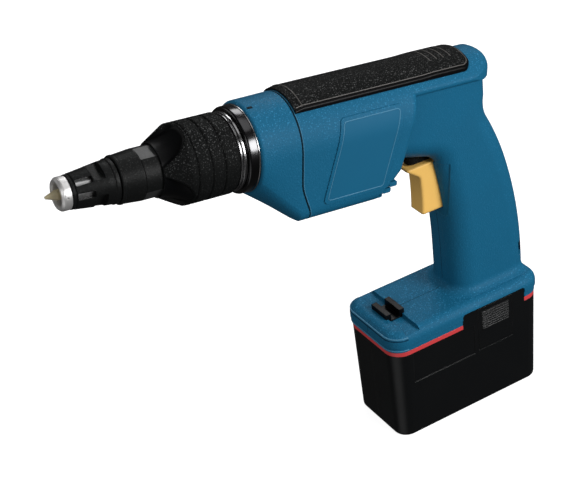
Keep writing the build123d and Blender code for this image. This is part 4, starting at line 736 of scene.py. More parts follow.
@dataclass
class Nose:
    """Collar, depth adjuster and stop in front of the gear case."""

    shop: Workshop
    collar_rear_round: float = 0.5
    collar_round: float = 1.5
    collar_edge: tuple[Corner, ...] = ((0.05, -0.8, 0), (0.05, 0.45, 0.3), (1.0, 0.35, 0.3), (1.0, -0.8, 0))
    bead_round: float = 0.9
    bead_len: float = 2.3
    bead_gap: float = 0.9
    bead_gap_drop: float = 1.1
    bead_gap_round: float = 0.15
    second_bead: tuple[Corner, ...] = ((0.9, -0.3, 0.3), (1.7, -0.3, 0.4))
    adjuster_wall: float = 4.0
    adjuster_round: float = 0.7
    adjuster_step: float = 0.6
    adjuster_segments: int = 300
    grooves: tuple[float, ...] = (47.3, 55.5, 64.2)
    groove: tuple[Corner, ...] = ((-0.85, 0.0, 0.6), (0.0, -0.85, 0.1), (0.85, 0.0, 0.6))
    shoulder: float = 68.0
    shoulder_round: float = 2.0
    tip_radius: float = 16.6
    tip_round: float = 0.4
    hollow_end: float = 57.0
    bore_start: float = 62.0
    recesses: int = 3
    recess_turn: float = 78.5
    recess_half: float = 13.6
    recess_start: float = 65.2
    recess_widest: float = 80.0
    recess_radius: float = 23.0
    recess_end_radius: float = 16.15
    recess_wall: float = 0.09
    recess_power: float = 3.0
    recess_sag: float = 1.6
    bore_skin: float = 0.5
    sleeve_end: float = 106.0
    sleeve_end_radius: float = 13.8
    sleeve_socket: float = 3.1
    socket_end: float = 99.0
    sleeve_round: float = 0.4
    sleeve_step: float = 1.0
    sleeve_segments: int = 240
    sleeve_ring: tuple[Corner, ...] = ((0, 0, 0), (0, -0.35, 0.1), (0.7, -0.35, 0.1), (0.7, 0, 0.2))
    sleeve_rim: tuple[Corner, ...] = ((-2.0, 0.2, 0.1), (-1.6, 0.5, 0.2), (-0.5, 0.4, 0.3), (0.0, 0.0, 0.2))
    flat_start: float = 74.0
    flat_end: float = 92.0
    flat_depth: float = 1.0
    flat_edge: float = 0.1
    hold: float = 11.0
    hold_end: float = 111.5
    cone_lug: tuple[Corner, ...] = ((0.0, 0.0, 0.5), (2.4, 0.0, 0.4), (2.7, -0.5, 0.1), (5.9, -0.7, 0.3))
    cone_tip_radius: float = 9.9
    cone_tip: tuple[Corner, ...] = (
        (-2.6, 0.35, 0.2), (-2.4, -0.3, 0.1), (-1.8, -0.3, 0.1), (-1.6, 0.1, 0.2), (0.0, 0.0, 0.3))
    cone_step: float = 1.5
    cone_segments: int = 144
    window: tuple[Corner, ...] = ((121.0, 1.9, 0.5), (131.0, 1.9, 0.5))
    window_turns: Point = (48.5, 3.5)
    window_floor: float = 0.4
    notches: int = 3
    notch: tuple[Corner, ...] = ((114.0, 7.5, 0.3), (121.0, 7.5, 3.5))
    notch_turn: float = 78.0
    notch_floor: float = 9.2
    cut_over: float = 2.0
    ring_rear: tuple[Corner, ...] = ((0.0, -0.25, 0.1), (0.5, 0.0, 0.3))
    ring_front: tuple[Corner, ...] = (
        (-1.8, 0.0, 0.1), (-1.65, -0.2, 0.05), (-1.5, -0.1, 0.1), (-1.2, -0.2, 0.2), (0.0, -1.2, 0.3))
    ring_bore: tuple[Corner, ...] = ((0.0, 0.5, 0.2), (-1.2, 0.0, 0.2))
    pin_hole: tuple[Corner, ...] = ((2.1, 0.5, 0.45), (3.1, 0.5, 0.45))
    pin_turn: float = 8.0
    pin_depth: float = 0.9
    pin_over: float = 1.0

    def build(self) -> None:
        """Builds every piece of the nose."""
        for make in (self.collar, self.trim, self.adjuster, self.sleeve, self.cone, self.ring):
            make()

    def collar(self) -> None:
        """Polished ring with rounded shoulders against the gear case, and its bright rear edge."""
        rear, front, bore, radius = self.shop.spindle.span("collar")
        outline = rounded([(rear, bore, 0), (rear, radius, self.collar_rear_round),
                           (front, radius, self.collar_round), (front, bore, 0)])
        self.shop.keep(self.shop.turned("collar_ring", outline), "housing", "polished_black", "collar")
        edge = rounded(shifted(self.collar_edge, rear, radius))
        self.shop.keep(self.shop.turned("collar_edge", edge), "housing", "bright_trim")

    def trim(self) -> None:
        """Bright double bead in front of the collar, with a groove between the beads."""
        rear, front, bore, radius = self.shop.spindle.span("collar_trim")
        first = rear + self.bead_len
        second = first + self.bead_gap
        low = radius - self.bead_gap_drop
        outline = rounded([
            (rear, bore, 0), (rear, radius, self.bead_round), (first, radius, self.bead_round),
            (first, low, self.bead_gap_round), (second, low, self.bead_gap_round),
            *shifted(self.second_bead, first, radius), (front, bore, 0)])
        self.shop.keep(self.shop.turned("trim_beads", outline), "housing", "bright_trim", "collar_trim")

    def adjuster(self) -> None:
        """Grained depth adjuster with three ring grooves and three smooth recesses in its cone."""
        rear, front, bore, radius = self.shop.spindle.span("depth_adjuster")
        hollow = radius - self.adjuster_wall
        corners: list[Corner] = [(rear, hollow, 0), (rear, radius, self.adjuster_round)]
        for place in self.grooves:
            corners += shifted(self.groove, place, radius)
        corners += [(self.shoulder, radius, self.shoulder_round), (front, self.tip_radius, self.tip_round),
                    (front, bore, 0), (self.bore_start, bore, 0), (self.hollow_end, hollow, 0)]

        def recessed(x: float, reach: float, angle: float) -> float:
            """Radius of the adjuster after the recesses in its cone."""
            depth = max(0.0, reach - self.recess_floor((x - self.recess_start) / (front - self.recess_start)))
            return reach - depth * smooth_step(self.recess_share(x, reach, angle) / self.recess_wall)

        def in_recess(x: float, reach: float, angle: float) -> bool:
            """Whether a point lies in a recess."""
            outside = x >= self.recess_start and reach >= bore + self.bore_skin
            return outside and self.recess_share(x, reach, angle) > self.recess_wall / 2

        outline = dense(rounded(corners), self.adjuster_step)
        shell = self.shop.turned("adjuster_shell", outline, recessed, self.adjuster_segments)
        recess = self.shop.split_off(shell, "adjuster_recesses", in_recess)
        self.shop.keep(shell, "adjuster", "grained_black", "depth_adjuster")
        # The recess faces are smooth, and painted darker as shade in the hollows.
        self.shop.keep(recess, "adjuster", "grained_black", finish="smooth_black_and_shade")

    def recess_floor(self, share: float) -> float:
        """Radius of a recess's sagging floor at a share of its length."""
        straight = self.recess_radius + (self.recess_end_radius - self.recess_radius) * share
        return straight - 4 * self.recess_sag * max(0.0, share) * (1.0 - share)

    def recess_share(self, x: float, reach: float, angle: float) -> float:
        """Tells how far inside a recess a point lies.

        Args:
            x: Place along the spindle.
            reach: Radius of the point.
            angle: Angle round the spindle, in radians.

        Returns:
            1 in the middle of a recess, 0 on its edge and less outside.
        """
        across = abs(reach * math.sin(self.turn_off(angle))) / self.recess_half
        along = max(0.0, self.recess_widest - x) / (self.recess_widest - self.recess_start)
        return 1.0 - (along**self.recess_power + across**self.recess_power)**(1.0 / self.recess_power)

    def turn_off(self, angle: float) -> float:
        """Angle in radians between a direction round the spindle and the middle of the nearest recess."""
        pitch = TURN / self.recesses
        return (angle - math.radians(self.recess_turn) + pitch / 2) % pitch - pitch / 2

    def sleeve(self) -> None:
        """Stop sleeve with a flat before each recess, a ring groove and a thin rim at its front."""
        rear, front, bore, radius = self.shop.spindle.span("stop_sleeve")
        socket = bore + self.sleeve_socket
        corners = [
            (rear, socket, 0), (rear, radius, self.sleeve_round),
            *shifted(self.sleeve_ring, self.flat_end, radius),
            *shifted(self.sleeve_rim, self.sleeve_end, self.sleeve_end_radius),
            (self.sleeve_end, self.hold, 0), (front, self.hold, 0), (front, bore, 0),
            (self.socket_end, bore, 0), (self.socket_end, socket, 0)]
        level = radius - self.flat_depth
        width = math.acos(level / radius)
        edge = self.flat_edge

        def flattened(x: float, reach: float, angle: float) -> float:
            """Radius of the sleeve after its flats."""
            flat = min(reach, level / math.cos(self.turn_off(angle)))
            return flat if reach >= level and self.flat_start <= x <= self.flat_end else reach

        def on_flat(x: float, reach: float, angle: float) -> bool:
            """Whether a point lies on a flat."""
            outside = reach > level - edge and self.flat_start < x < self.flat_end - edge
            return outside and abs(self.turn_off(angle)) < width

        outline = dense(rounded(corners), self.sleeve_step)
        shell = self.shop.turned("sleeve_shell", outline, flattened, self.sleeve_segments)
        flats = self.shop.split_off(shell, "sleeve_flats", on_flat)
        self.shop.keep(shell, "depth_stop", "grained_black", "stop_sleeve", finish="nose_black")
        # The flats are painted lighter as the highlight of the light above.
        self.shop.keep(flats, "depth_stop", "grained_black", finish="flat_highlight_black")

    def cone(self) -> None:
        """Stop cone with its lug ring, three notches and a pair of windows by each notch."""
        rear, front, bore, radius = self.shop.spindle.span("stop_cone")
        corners = [
            (rear, self.hold, 0), *shifted(self.cone_lug, rear, radius),
            *shifted(self.cone_tip, front, self.cone_tip_radius), (front, bore, 0),
            (self.hold_end, bore, 0), (self.hold_end, self.hold, 0)]
        outline = dense(rounded(corners), self.cone_step)
        cone = self.shop.turned("cone_cage", outline, segments=self.cone_segments)
        high = radius + self.cut_over
        cutters = []
        for pitch in steps(0.0, 360.0, 360.0 / self.notches)[:-1]:
            cutters += [self.cutter(self.window, turn + pitch, bore - self.window_floor, high)
                        for turn in self.window_turns]
            cutters.append(self.cutter(self.notch, self.notch_turn + pitch, self.notch_floor, high))
        carve(cone, cutters)
        self.shop.keep(cone, "depth_stop", "grained_black", "stop_cone", finish="nose_black")

    def cutter(self, half: Sequence[Corner], turn: float, low: float, high: float) -> bpy.types.Object:
        """Makes a block that cuts into the nose from outside.

        Args:
            half: One half of its plan: places along the spindle and across, with roundings.
            turn: Direction that it comes from, in degrees from +Y towards +Z.
            low: Radius of its floor.
            high: Radius of its top.

        Returns:
            The block.
        """
        plan = rounded([(x, -y, turning) for x, y, turning in half] + list(reversed(half)))
        spin = Matrix.Rotation(math.radians(turn - 90.0), 4, "X")
        spots = [spin @ Vector((x, y, z)) for z in (low, high) for x, y in plan]
        return mesh_piece("cutter", spots, tube(2, len(plan)), self.shop.spindle.matrix)

    def ring(self) -> None:
        """Steel stop ring with a chamfered face, a fine groove and a pin hole in its side."""
        rear, front, bore, radius = self.shop.spindle.span("stop_ring")
        outline = rounded([
            (rear, bore, 0), *shifted(self.ring_rear, rear, radius), *shifted(self.ring_front, front, radius),
            *shifted(self.ring_bore, front, bore)])
        ring = self.shop.turned("ring_tip", outline, segments=self.cone_segments)
        hole = shifted(self.pin_hole, rear, 0.0)
        carve(ring, [self.cutter(hole, self.pin_turn, radius - self.pin_depth, radius + self.pin_over)])
        self.shop.keep(ring, "depth_stop", "stop_steel", "stop_ring")


@dataclass
class HousingDetails:
    """Fine forms on the housing: seams, label panels, vent louvres, foot ridge and index mark."""

    shop: Workshop
    panel_back: float = 57.6
    panel_len: float = 43.5
    panel_slant: float = 14.0
    panel_low: float = -35.5
    panel_high: float = 15.2
    border: Ridge = Ridge(0.65, 0.25)
    border_in: float = 2.2
    border_round: float = 2.0
    border_step: float = 1.0
    plate_in: float = 2.7
    plate_proud: float = 0.06
    plate_rows: int = 36
    plate_columns: int = 28
    seam: Ridge = Ridge(1.1, 0.05)
    seam_back: float = 0.3
    seam_edge: Ridge = Ridge(0.55, 0.05)
    seam_edge_back: float = 1.15
    seam_step: float = 0.03
    seam_bend: float = 6.0
    bend_start: float = -18.0
    bend_len: float = 26.0
    fine_seam: Ridge = Ridge(0.35, 0.05)
    fine_step: float = 1.5
    far: float = 90.0
    section_middle: float = -9.0
    mark: Ridge = Ridge(2.0, 0.05)
    mark_turn: float = 76.0
    mark_rear: float = 20.5
    mark_front: float = 24.0
    mark_step: float = 0.5
    foot_low: float = 72.0
    foot_top: float = 84.5
    foot_half: float = 60.25
    foot_half_width: float = 29.5
    foot_corner: float = 12.2
    foot_seam_start: float = 3.0
    foot_seam_short: float = 1.0
    foot_top_step: float = 1.0
    foot_front_step: float = 0.8
    foot_clear: float = 130.0
    grip_foot: float = 6.0
    grip_front_top: float = 142.0
    grip_slot: float = 24.0
    grip_rear_top: float = 244.0
    chin_start: float = -8.0
    chin_end: float = -53.0
    ridge: Ridge = Ridge(1.1, 0.6)
    ridge_down: float = 3.5
    ridge_shade: Ridge = Ridge(0.8, 0.05)
    shade_down: float = 4.8
    lip: Ridge = Ridge(1.0, 0.55)
    lip_z: float = 71.8
    ridge_step: float = 0.5
    corner_step: float = 5.0
    front_step: float = 1.0
    front_in: float = 1.0
    groove_front: float = 49.4
    clip_rear: float = 36.0
    louvres: int = 3
    louvre_pitch: float = 5.4
    louvre_height: float = 2.9
    louvre_proud: float = 1.2
    louvre_root: float = 2.6
    louvre_rounds: Point = (1.0, 0.9)
    louvre_ends: Point = (0.8, 0.25)
    louvre_end_in: float = 0.5
    slope_low: Point = (-54.2, -46.0)
    slope_high: Point = (-71.2, -28.1)
    body_half: float = 28.0
    body_drop: float = 46.0
    body_corner: float = 10.0
    spine: float = 6.0

    def __post_init__(self) -> None:
        """Takes the skin of the shells and the gear case."""
        self.skin = Surface("housing_left", "housing_right", "gear_case")

    def build(self) -> None:
        """Builds every fine form on the housing."""
        for side, word in SIDES:
            self.panel(side, word)
        self.case_seam()
        self.shell_seams()
        self.index_mark()
        self.foot_lines()
        self.vents()

    def lay(self, name: str, ridge: Ridge, rays: Sequence[Ray], finish: str, closed: bool = False,
            slot: str = "housing_blue") -> None:
        """Lays a ridge on the skin where rays meet it.

        Args:
            name: Name of the piece.
            ridge: Its width and height.
            rays: Rays from outside.
            finish: Name of its finish.
            closed: Whether it runs back to its start.
            slot: Material slot of what it lies on.
        """
        self.shop.keep(ridge.lay(name, [self.skin.track(rays)], closed), "housing", slot, finish=finish)

    def panel_outline(self, inset: float, rounding: float) -> list[Corner]:
        """Corners of the label panel, moved in.

        Args:
            inset: How far the outline stands inside the panel's edge.
            rounding: Radius of its corners.

        Returns:
            The corners in the spindle frame's X and Z: low rear, low front, high front and high rear.
        """
        lean = self.panel_slant / (self.panel_high - self.panel_low)
        side = inset * math.hypot(1.0, lean)
        low, high = [
            [(end - lean * (z - self.panel_low), z, rounding)
             for end in (side - self.panel_back, self.panel_len - self.panel_back - side)]
            for z in (self.panel_low + inset, self.panel_high - inset)]
        return low + high[::-1]

    def across(self, side: int, x: float, z: float) -> Ray:
        """Gives a ray from one side of the tool to its middle plane, at a point of the spindle frame."""
        spindle = self.shop.spindle
        return spindle.spot(x, side * self.far, z), spindle.spot(x, 0.0, z)

    def panel(self, side: int, word: str) -> None:
        """Bare label plate inside a fine raised border that is painted lighter as a highlight.

        Args:
            side: 1 for the left side, -1 for the right.
            word: Name of the side.
        """
        outline = dense(rounded(self.panel_outline(self.border_in, self.border_round)), self.border_step)
        rays = [self.across(side, x, z) for x, z in outline]
        self.lay(f"label_border_{word}", self.border, rays, "highlight_blue", closed=True)
        corners = [Vector(corner[:2]) for corner in self.panel_outline(self.plate_in, 0.0)]
        low_rear, low_front, high_front, high_rear = corners
        rays = []
        for share in steps(0.0, 1.0, 1.0 / self.plate_rows):
            rear, front = low_rear.lerp(high_rear, share), low_front.lerp(high_front, share)
            row = [rear.lerp(front, t) for t in steps(0.0, 1.0, 1.0 / self.plate_columns)]
            rays += [self.across(side, spot.x, spot.y) for spot in row]
        spots = [place + normal * self.plate_proud for place, normal in self.skin.track(rays)]
        plate = mesh_piece(f"label_plate_{word}", spots, net(self.plate_rows + 1, self.plate_columns + 1))
        self.shop.keep(plate, "housing", "housing_blue", finish="label_blue")

    def case_seam(self) -> None:
        """Dark line of painted shadow, with a lighter edge of painted highlight, where the gear case meets the
        housing.
        """
        dark, light = self.seam_rays(self.seam_back), self.seam_rays(self.seam_edge_back)
        self.lay("case_seam", self.seam, dark, "seam_shadow", closed=True)
        self.lay("case_seam_edge", self.seam_edge, light, "highlight_blue", closed=True)

    def seam_rays(self, back: float) -> list[Ray]:
        """Gives rays at the seam round the body, which bends to the rear at its lower end.

        Args:
            back: How far behind the seam they meet the body.

        Returns:
            The rays, from outside to the middle of the body.
        """
        spindle = self.shop.spindle
        unturned = spindle.stand.inverted()
        rays = []
        for angle in steps(0.0, TURN, self.seam_step)[:-1]:
            y = self.far * math.cos(angle)
            z = self.section_middle + self.far * math.sin(angle)
            place, _ = self.skin.track([(spindle.spot(0, y, z), spindle.spot(0, 0, self.section_middle))])[0]
            bend = self.seam_bend * smooth_step((self.bend_start - (unturned @ place).z) / self.bend_len)
            x = -back - bend
            rays.append((spindle.spot(x, y, z), spindle.spot(x, 0, self.section_middle)))
        return rays

    def shell_seams(self) -> None:
        """Fine lines on the middle plane where the shells meet: foot, grip, rail end and underside."""
        top, far, fine = self.foot_top, 2 * self.far, self.fine_step
        foot_top = steps(self.foot_seam_start, self.clip_rear, self.foot_top_step)
        foot_front = steps(self.foot_low, top - self.foot_seam_short, self.foot_front_step)
        grip_front = steps(top + self.grip_foot, self.grip_front_top, fine)
        grip_rear = steps(top + self.grip_slot, self.grip_rear_top, fine)
        under = steps(self.chin_start, self.chin_end, fine)
        spot = self.shop.spindle.spot
        runs = {
            "foot_top_seam": [ray((x, 0, self.foot_clear), (x, 0, 0)) for x in foot_top],
            "foot_front_seam": [ray((far, 0, z), (0, 0, z)) for z in foot_front],
            "grip_front_seam": [ray((far, 0, z), (0, 0, z)) for z in grip_front],
            "grip_rear_seam": [ray((-far, 0, z), (0, 0, z)) for z in grip_rear],
            "body_seam": [(spot(x, 0, -self.far), spot(x, 0, 0)) for x in under],
        }
        for name, rays in runs.items():
            self.lay(name, self.fine_seam, rays, "seam_shadow")

    def index_mark(self) -> None:
        """Small index mark on the rim of the gear case, painted dark as the shade inside a notch."""
        spot = self.shop.spindle.spot
        angle = math.radians(self.mark_turn)
        y, z = self.far * math.cos(angle), self.far * math.sin(angle)
        places = steps(self.mark_rear, self.mark_front, self.mark_step)
        rays = [(spot(x, y, z), spot(x, 0, 0)) for x in places]
        self.lay("index_mark", self.mark, rays, "seam_shadow", slot="case_blue")

    def foot_lines(self) -> None:
        """Ridge round the front end of the foot between the side grooves, its shade and the lip under it; ridge
        and lip are painted lighter as highlights.
        """
        ridge = self.front_rays(self.foot_top - self.ridge_down, self.groove_front)
        shade_rays = self.front_rays(self.foot_top - self.shade_down, self.groove_front)
        lip = self.front_rays(self.lip_z, self.foot_half - self.foot_corner)
        self.lay("foot_ridge", self.ridge, ridge, "highlight_blue")
        self.lay("foot_ridge_shade", self.ridge_shade, shade_rays, "shadow_blue")
        self.lay("foot_lip", self.lip, lip, "highlight_blue")

    def front_rays(self, z: float, start: float) -> list[Ray]:
        """Gives rays round the front end of the foot.

        Args:
            z: Height of the rays.
            start: Place along the foot where they start on the left side and end on the right side.

        Returns:
            The rays, from outside to the middle of the foot.
        """
        middle_x = self.foot_half - self.foot_corner
        middle_y = self.foot_half_width - self.foot_corner
        end = middle_y - self.front_in
        sides = steps(start, middle_x, self.ridge_step)
        rays = [ray((x, self.far, z), (x, 0, z)) for x in sides]
        rays += self.corner_rays(Vector((middle_x, middle_y, z)), 90.0, 0.0)
        rays += [ray((2 * self.far, y, z), (0, y, z)) for y in steps(end, -end, self.front_step)]
        rays += self.corner_rays(Vector((middle_x, -middle_y, z)), 0.0, -90.0)
        return rays + [ray((x, -self.far, z), (x, 0, z)) for x in reversed(sides)]

    def corner_rays(self, aim: Vector, start: float, end: float) -> list[Ray]:
        """Gives level rays round a corner's middle, from one direction in degrees to another."""
        ways = [math.radians(turn) for turn in steps(start, end, self.corner_step)]
        return [(aim + self.far * Vector((math.cos(way), math.sin(way), 0)), aim) for way in ways]

    def vents(self) -> None:
        """Louvres that stand out between the vent slots at the lower rear of the body."""
        low, high = Vector(self.slope_low), Vector(self.slope_high)
        along = (high - low).normalized()
        for side, word in SIDES:
            for i in range(self.louvres):
                spot = (low + high) / 2 + along * (i - self.louvres / 2) * self.louvre_pitch
                piece = self.louvre(f"louvre_{word}_{i + 1}", side, spot)
                self.shop.keep(piece, "housing", "housing_blue")

    def louvre(self, name: str, side: int, spot: Vector) -> bpy.types.Object:
        """One louvre: a rounded lip along the slope's step.

        Args:
            name: Name of the piece.
            side: 1 for the left side, -1 for the right.
            spot: Its middle on the slope, in the spindle frame's X and Z.

        Returns:
            The new piece.
        """
        half = self.louvre_height / 2
        low, high = spot.y - half, spot.y + half
        rear, root = spot.x - half - self.louvre_proud, spot.x + self.louvre_root
        low_round, high_round = self.louvre_rounds
        section = rounded([(rear, low, low_round), (rear, high, high_round), (root, high, 0), (root, low, 0)])
        sink = max(0.0, self.body_corner - self.body_drop - low)
        reach = self.body_half - self.body_corner + math.sqrt(max(0.0, self.body_corner**2 - sink**2))
        bend, end = (reach - short for short in self.louvre_ends)
        stations = ((self.spine, 0.0), (bend, 0.0), (end, self.louvre_end_in))
        spots = [(x + inward, side * y, z) for y, inward in stations for x, z in section]
        return mesh_piece(name, spots, tube(len(stations), len(section)), self.shop.spindle.matrix)


@dataclass
class LidCover:
    """Sliding lid on the rail, with its rim, front facet and thumb ribs."""

    shop: Workshop
    half: float = 18.0
    corner: float = 7.0
    thickness: float = 2.0
    row_step: float = 0.6
    columns: int = 44
    crease: float = 40.0
    facet: float = 0.9
    facet_len: float = 5.0
    edge: float = 0.7
    edge_step: float = 0.4
    skirt: float = 0.4
    rim: float = 1.7
    rim_drop: float = 0.28
    rim_ease: float = 0.3
    ribs: int = 4
    rib_start: float = -97.0
    rib_pitch: float = 5.0
    rib_len: float = 4.4
    rib_depth: float = 1.0
    rib_half: float = 11.5
    bump: float = 0.4
    bump_start: float = -88.0
    bump_rise: float = 13.0
    bump_fall: float = 11.0
    wall_in: float = 1.5
    line: Ridge = Ridge(0.6, 0.16)
    line_in: float = 1.7
    line_short: float = 1.0
    side_step: float = 2.0
    turn_step: float = 0.12
    end_step: float = 1.5
    crest_back: float = 0.1
    crest_in: float = 3.0
    crest_step: float = 0.7
    facet_in: float = 1.2
    facet_step: float = 0.8

    def __post_init__(self) -> None:
        """Measures the lid's ends, and its height without the bump over the ribs."""
        self.rear, self.front, _, highest = self.shop.spindle.span("top_lid")
        self.top = highest - self.bump

    def build(self) -> None:
        """Builds the lid as one shell, with a smooth side wall painted darker as shade, and the lines on it."""
        stations = steps(self.front, self.rear, self.row_step)
        spots: list[Place] = []
        for x in stations:
            row = self.row(x)
            inner = self.top - self.thickness
            spots += row + [(x, y, math.sqrt(inner**2 - y**2)) for _, y, _ in reversed(row)]
        loop = len(spots) // len(stations)
        faces = net(len(stations), loop, join_columns=True)
        for start in (0, len(spots) - loop):
            faces += [(start + i, start + i + 1, start + loop - 2 - i, start + loop - 1 - i)
                      for i in range(loop // 2 - 1)]

        def on_wall(x: float, reach: float, angle: float) -> bool:
            """Whether a point lies on the lid's side wall or end."""
            side = abs(reach * math.cos(angle)) > self.half_width(x) - self.wall_in
            return side or x < self.rear + self.wall_in

        lid = mesh_piece("lid_cover", spots, faces, self.shop.spindle.matrix, self.crease)
        wall = self.shop.split_off(lid, "lid_wall", on_wall)
        self.shop.keep(lid, "top_lid", "grained_black", "top_lid")
        # The wall is painted darker as shade.
        self.shop.keep(wall, "top_lid", "grained_black", finish="smooth_black_and_shade")
        self.lines()

    def lines(self) -> None:
        """Light lines painted as highlights on the rim, on the crests of the ribs and behind the front facet."""
        turn, middle, bend = self.corner - self.line_in, self.half - self.corner, self.rear + self.corner
        straight = steps(self.front - self.line_short, bend, self.side_step)
        side = [(x, self.half - self.line_in) for x in straight]
        side += [(bend - turn * math.sin(a), middle + turn * math.cos(a))
                 for a in steps(0.0, math.pi / 2, self.turn_step)[1:]]
        end = [(self.rear + self.line_in, y) for y in steps(middle, -middle, self.end_step)[1:-1]]
        rim = side + end + [(x, -y) for x, y in reversed(side)]
        first, reach = self.rib_start - self.rib_len - self.crest_back, self.rib_half - self.crest_in
        ribs = [[(first - i * self.rib_pitch, y) for y in steps(-reach, reach, self.crest_step)]
                for i in range(self.ribs)]
        width = self.half - self.facet_in
        facet = [(self.front - self.facet_len, y) for y in steps(-width, width, self.facet_step)]
        for name, plans in (("lid_rim", [rim]), ("lid_rib_crests", ribs), ("lid_facet_edge", [facet])):
            line = self.line.lay(name, [self.on_skin(plan) for plan in plans])
            self.shop.keep(line, "top_lid", "grained_black", finish="edge_highlight_black")

    def on_skin(self, plan: Sequence[Point]) -> Track:
        """Sets points of the lid's plan on its outer skin.

        Args:
            plan: Places along the spindle and across.

        Returns:
            The places on the skin, with their normals.
        """
        spindle = self.shop.spindle
        turned = spindle.stand.to_3x3()
        track: Track = []
        for x, y in plan:
            z = self.height(x, y, self.half_width(x))
            track.append((spindle.spot(x, y, z), turned @ Vector((0, y, z)).normalized()))
        return track

    def half_width(self, x: float) -> float:
        """Half width of the lid's plan at a place along the spindle."""
        short = max(0.0, self.rear + self.corner - x)
        return self.half - self.corner + math.sqrt(max(0.0, self.corner**2 - short**2))

    def row(self, x: float) -> list[Place]:
        """Points of the outer skin across the lid.

        Args:
            x: Place along the spindle.

        Returns:
            Points from one edge to the other, with a rounded edge and wall at each side.
        """
        half = self.half_width(x)
        flat = half - self.edge
        spots = [(x, y, self.height(x, y, half)) for y in steps(-flat, flat, 2 * flat / self.columns)]
        top = spots[-1][2]
        fall = [(x, flat + self.edge * math.sin(a), top - self.edge * (1 - math.cos(a)) - self.skirt * a)
                for a in steps(0.0, math.pi / 2, self.edge_step)[1:]]
        return [(x, -y, z) for _, y, z in reversed(fall)] + spots + fall

    def height(self, x: float, y: float, half: float) -> float:
        """Height of the outer skin over the spindle.

        Args:
            x: Place along the spindle.
            y: Place across.
            half: Half width of the lid there.

        Returns:
            The height.
        """
        rise, fall = (self.bump_start - x) / self.bump_rise, (x - self.rear) / self.bump_fall
        radius = self.top + self.bump * smooth_step(rise) * smooth_step(fall)
        radius -= self.facet * max(0.0, 1.0 - (self.front - x) / self.facet_len)
        end = max(0.0, 1.0 - (x - self.rear) / self.edge)
        radius -= self.edge * (1.0 - math.sqrt(max(0.0, 1.0 - end**2)))
        inside = min(half - abs(y), x - self.rear) - self.rim + self.rim_ease
        radius -= self.rim_drop * (1.0 - smooth_step(inside / (2 * self.rim_ease)))
        for i in range(self.ribs):
            share = (self.rib_start - i * self.rib_pitch - x) / self.rib_len
            if 0.0 <= share <= 1.0:
                radius -= self.rib_depth * (1.0 - share) * (1.0 - smooth_step(abs(y) / self.rib_half))
        return math.sqrt(radius**2 - y**2)


@dataclass
class PackDetails:
    """Fine forms on the battery: the line down its front and rear, and the rows on its latches."""

    shop: Workshop
    line: Ridge = Ridge(0.5, 0.16)
    low: float = 6.0
    high: float = 64.0
    line_step: float = 1.5
    crest: Ridge = Ridge(0.5, 0.1)
    rows: int = 8
    row_low: float = 60.9
    row_pitch: float = 1.8125
    row_rear: float = -31.4
    row_front: float = -10.6
    row_step: float = 1.0
    far: float = 120.0

    def build(self) -> None:
        """Builds the fine forms of the battery."""
        case = Surface("battery_case")
        for word, x in (("front", self.far), ("rear", -self.far)):
            rays = [ray((x, 0, z), (0, 0, z)) for z in steps(self.low, self.high, self.line_step)]
            self.shop.keep(self.line.lay(f"pack_{word}_line", [case.track(rays)]), "battery", "pack_black")
        for side, word in SIDES:
            self.latch_rows(side, f"latch_{word}")

    def latch_rows(self, side: int, latch: str) -> None:
        """Crests of the thumb ribs on one latch, painted lighter as highlights.

        Args:
            side: 1 for the left side, -1 for the right.
            latch: Name of the latch's node and body.
        """
        skin = Surface(latch)
        heights = [self.row_low + i * self.row_pitch for i in range(self.rows)]
        places = steps(self.row_rear, self.row_front, self.row_step)
        tracks = [skin.track([ray((x, side * self.far, z), (x, 0, z)) for x in places]) for z in heights]
        self.shop.keep(self.crest.lay(f"{latch}_rows", tracks), latch, "pack_black", finish="flat_highlight_black")


@dataclass
class SoftBox:
    """One studio light, with its size in metres."""

    name: str
    place: Place
    size: float
    watts: float
    aim: Place = (0.09, 0.0, 0.15)

    def build(self) -> None:
        """Hangs the light and turns it to its aim."""
        lamp = bpy.data.lights.new(self.name, "AREA")
        lamp.shape = "DISK"
        lamp.size = self.size
        lamp.energy = self.watts
        holder = bpy.data.objects.new(self.name, lamp)
        holder.location = self.place
        holder.rotation_euler = (Vector(self.aim) - Vector(self.place)).to_track_quat("-Z", "Y").to_euler()
        bpy.context.scene.collection.objects.link(holder)


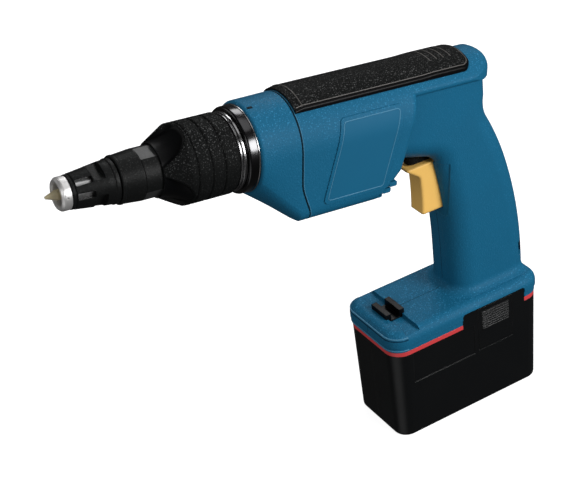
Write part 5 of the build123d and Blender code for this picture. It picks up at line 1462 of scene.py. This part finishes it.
@dataclass
class Studio:
    """Pale floor, soft light and the camera of the photograph. Lengths here are in metres."""

    camera_place: Place = (0.4842, 0.7204, 0.6851)
    camera_look: Place = (-0.3898, -0.7481, -0.5369)
    camera_right: Place = (-0.8482, 0.5187, -0.1069)
    lens_mm: float = 99.0
    sensor_mm: float = 36.0
    floor_half: float = 9.0
    floor_grey: float = 0.5
    floor_rough: float = 0.9
    floor_glow: float = 0.85
    sky: Point = (0.15, 0.45)
    shine_way: Place = (0.746, 0.383, -0.545)
    shine_edge: float = 0.85
    shine: Point = (0.04, 0.7)
    lights: tuple[SoftBox, ...] = (
        SoftBox("key_light", (-0.33, 0.77, 0.54), 0.45, 7.4),
        SoftBox("top_light", (-0.52, 0.16, 1.74), 1.2, 3.5),
        SoftBox("back_light", (-0.66, -0.96, 1.21), 0.6, 5.0),
        SoftBox("front_light", (1.5, 0.7, 0.9), 0.8, 3.5),
        SoftBox("far_light", (1.2, -1.2, 0.7), 0.9, 1.5),
    )

    def build(self) -> None:
        """Builds the whole studio."""
        for light in self.lights:
            light.build()
        self.floor()
        self.world()
        self.camera()

    def floor(self) -> None:
        """Pale floor under the pack."""
        half = self.floor_half / MM
        corners = [(-half, -half, 0), (half, -half, 0), (half, half, 0), (-half, half, 0)]
        floor = mesh_piece("studio_floor", corners, [(0, 1, 2, 3)])
        material = bpy.data.materials.new("studio_floor")
        material.use_nodes = True
        shader = material.node_tree.nodes["Principled BSDF"]
        shader.inputs["Base Color"].default_value = (self.floor_grey, self.floor_grey, self.floor_grey, 1.0)
        shader.inputs["Roughness"].default_value = self.floor_rough
        shader.inputs["Emission Color"].default_value = (1.0, 1.0, 1.0, 1.0)
        shader.inputs["Emission Strength"].default_value = self.floor_glow
        floor.data.materials.append(material)
        floor.visible_glossy = False
        floor.visible_diffuse = False

    def world(self) -> None:
        """Even white light that dims towards the floor, with a soft patch that shines only in reflections."""
        world = bpy.data.worlds.new("studio")
        world.use_nodes = True
        graph = Graph(world.node_tree)
        way = graph.add("TexCoord").outputs["Generated"]
        height = graph.add("SeparateXYZ", {0: way}).outputs[2]
        near = graph.add("VectorMath", {0: way, 1: self.shine_way}, operation="DOT_PRODUCT").outputs["Value"]
        path = graph.add("LightPath").outputs
        level = graph.math("MULTIPLY", graph.ramp(height, -1.0, 1.0, *self.sky), path["Is Diffuse Ray"])
        shine = graph.ramp(near, self.shine_edge, 1.0, *self.shine)
        patch = graph.math("MULTIPLY", shine, path["Is Glossy Ray"])
        strength = graph.math("MAXIMUM", graph.math("MAXIMUM", level, patch), path["Is Camera Ray"])
        background = world.node_tree.nodes["Background"]
        graph.feed(background.inputs["Strength"], strength)
        graph.feed(background.inputs["Color"], (1.0, 1.0, 1.0, 1.0))
        bpy.context.scene.world = world
        bpy.context.scene.view_settings.view_transform = "Standard"

    def camera(self) -> None:
        """Camera at the photograph's place and angle."""
        lens = bpy.data.cameras.new("photo_camera")
        lens.lens = self.lens_mm
        lens.sensor_width = self.sensor_mm
        lens.sensor_fit = "HORIZONTAL"
        lens.clip_end = 4 * self.floor_half
        look = Vector(self.camera_look).normalized()
        right = Vector(self.camera_right)
        right = (right - look * right.dot(look)).normalized()
        turned = Matrix((right, right.cross(look), -look)).transposed().to_4x4()
        camera = bpy.data.objects.new("photo_camera", lens)
        camera.matrix_world = Matrix.Translation(Vector(self.camera_place)) @ turned
        bpy.context.scene.collection.objects.link(camera)
        bpy.context.scene.camera = camera


def main() -> None:
    """Builds the studio and every sub-assembly."""
    logging.basicConfig(level=logging.INFO, format="%(message)s")
    shop = Workshop()
    shop.dress_solids()
    Studio().build()
    for assembly in (Nose, HousingDetails, LidCover, PackDetails):
        assembly(shop).build()


if __name__ == "__main__":
    main()
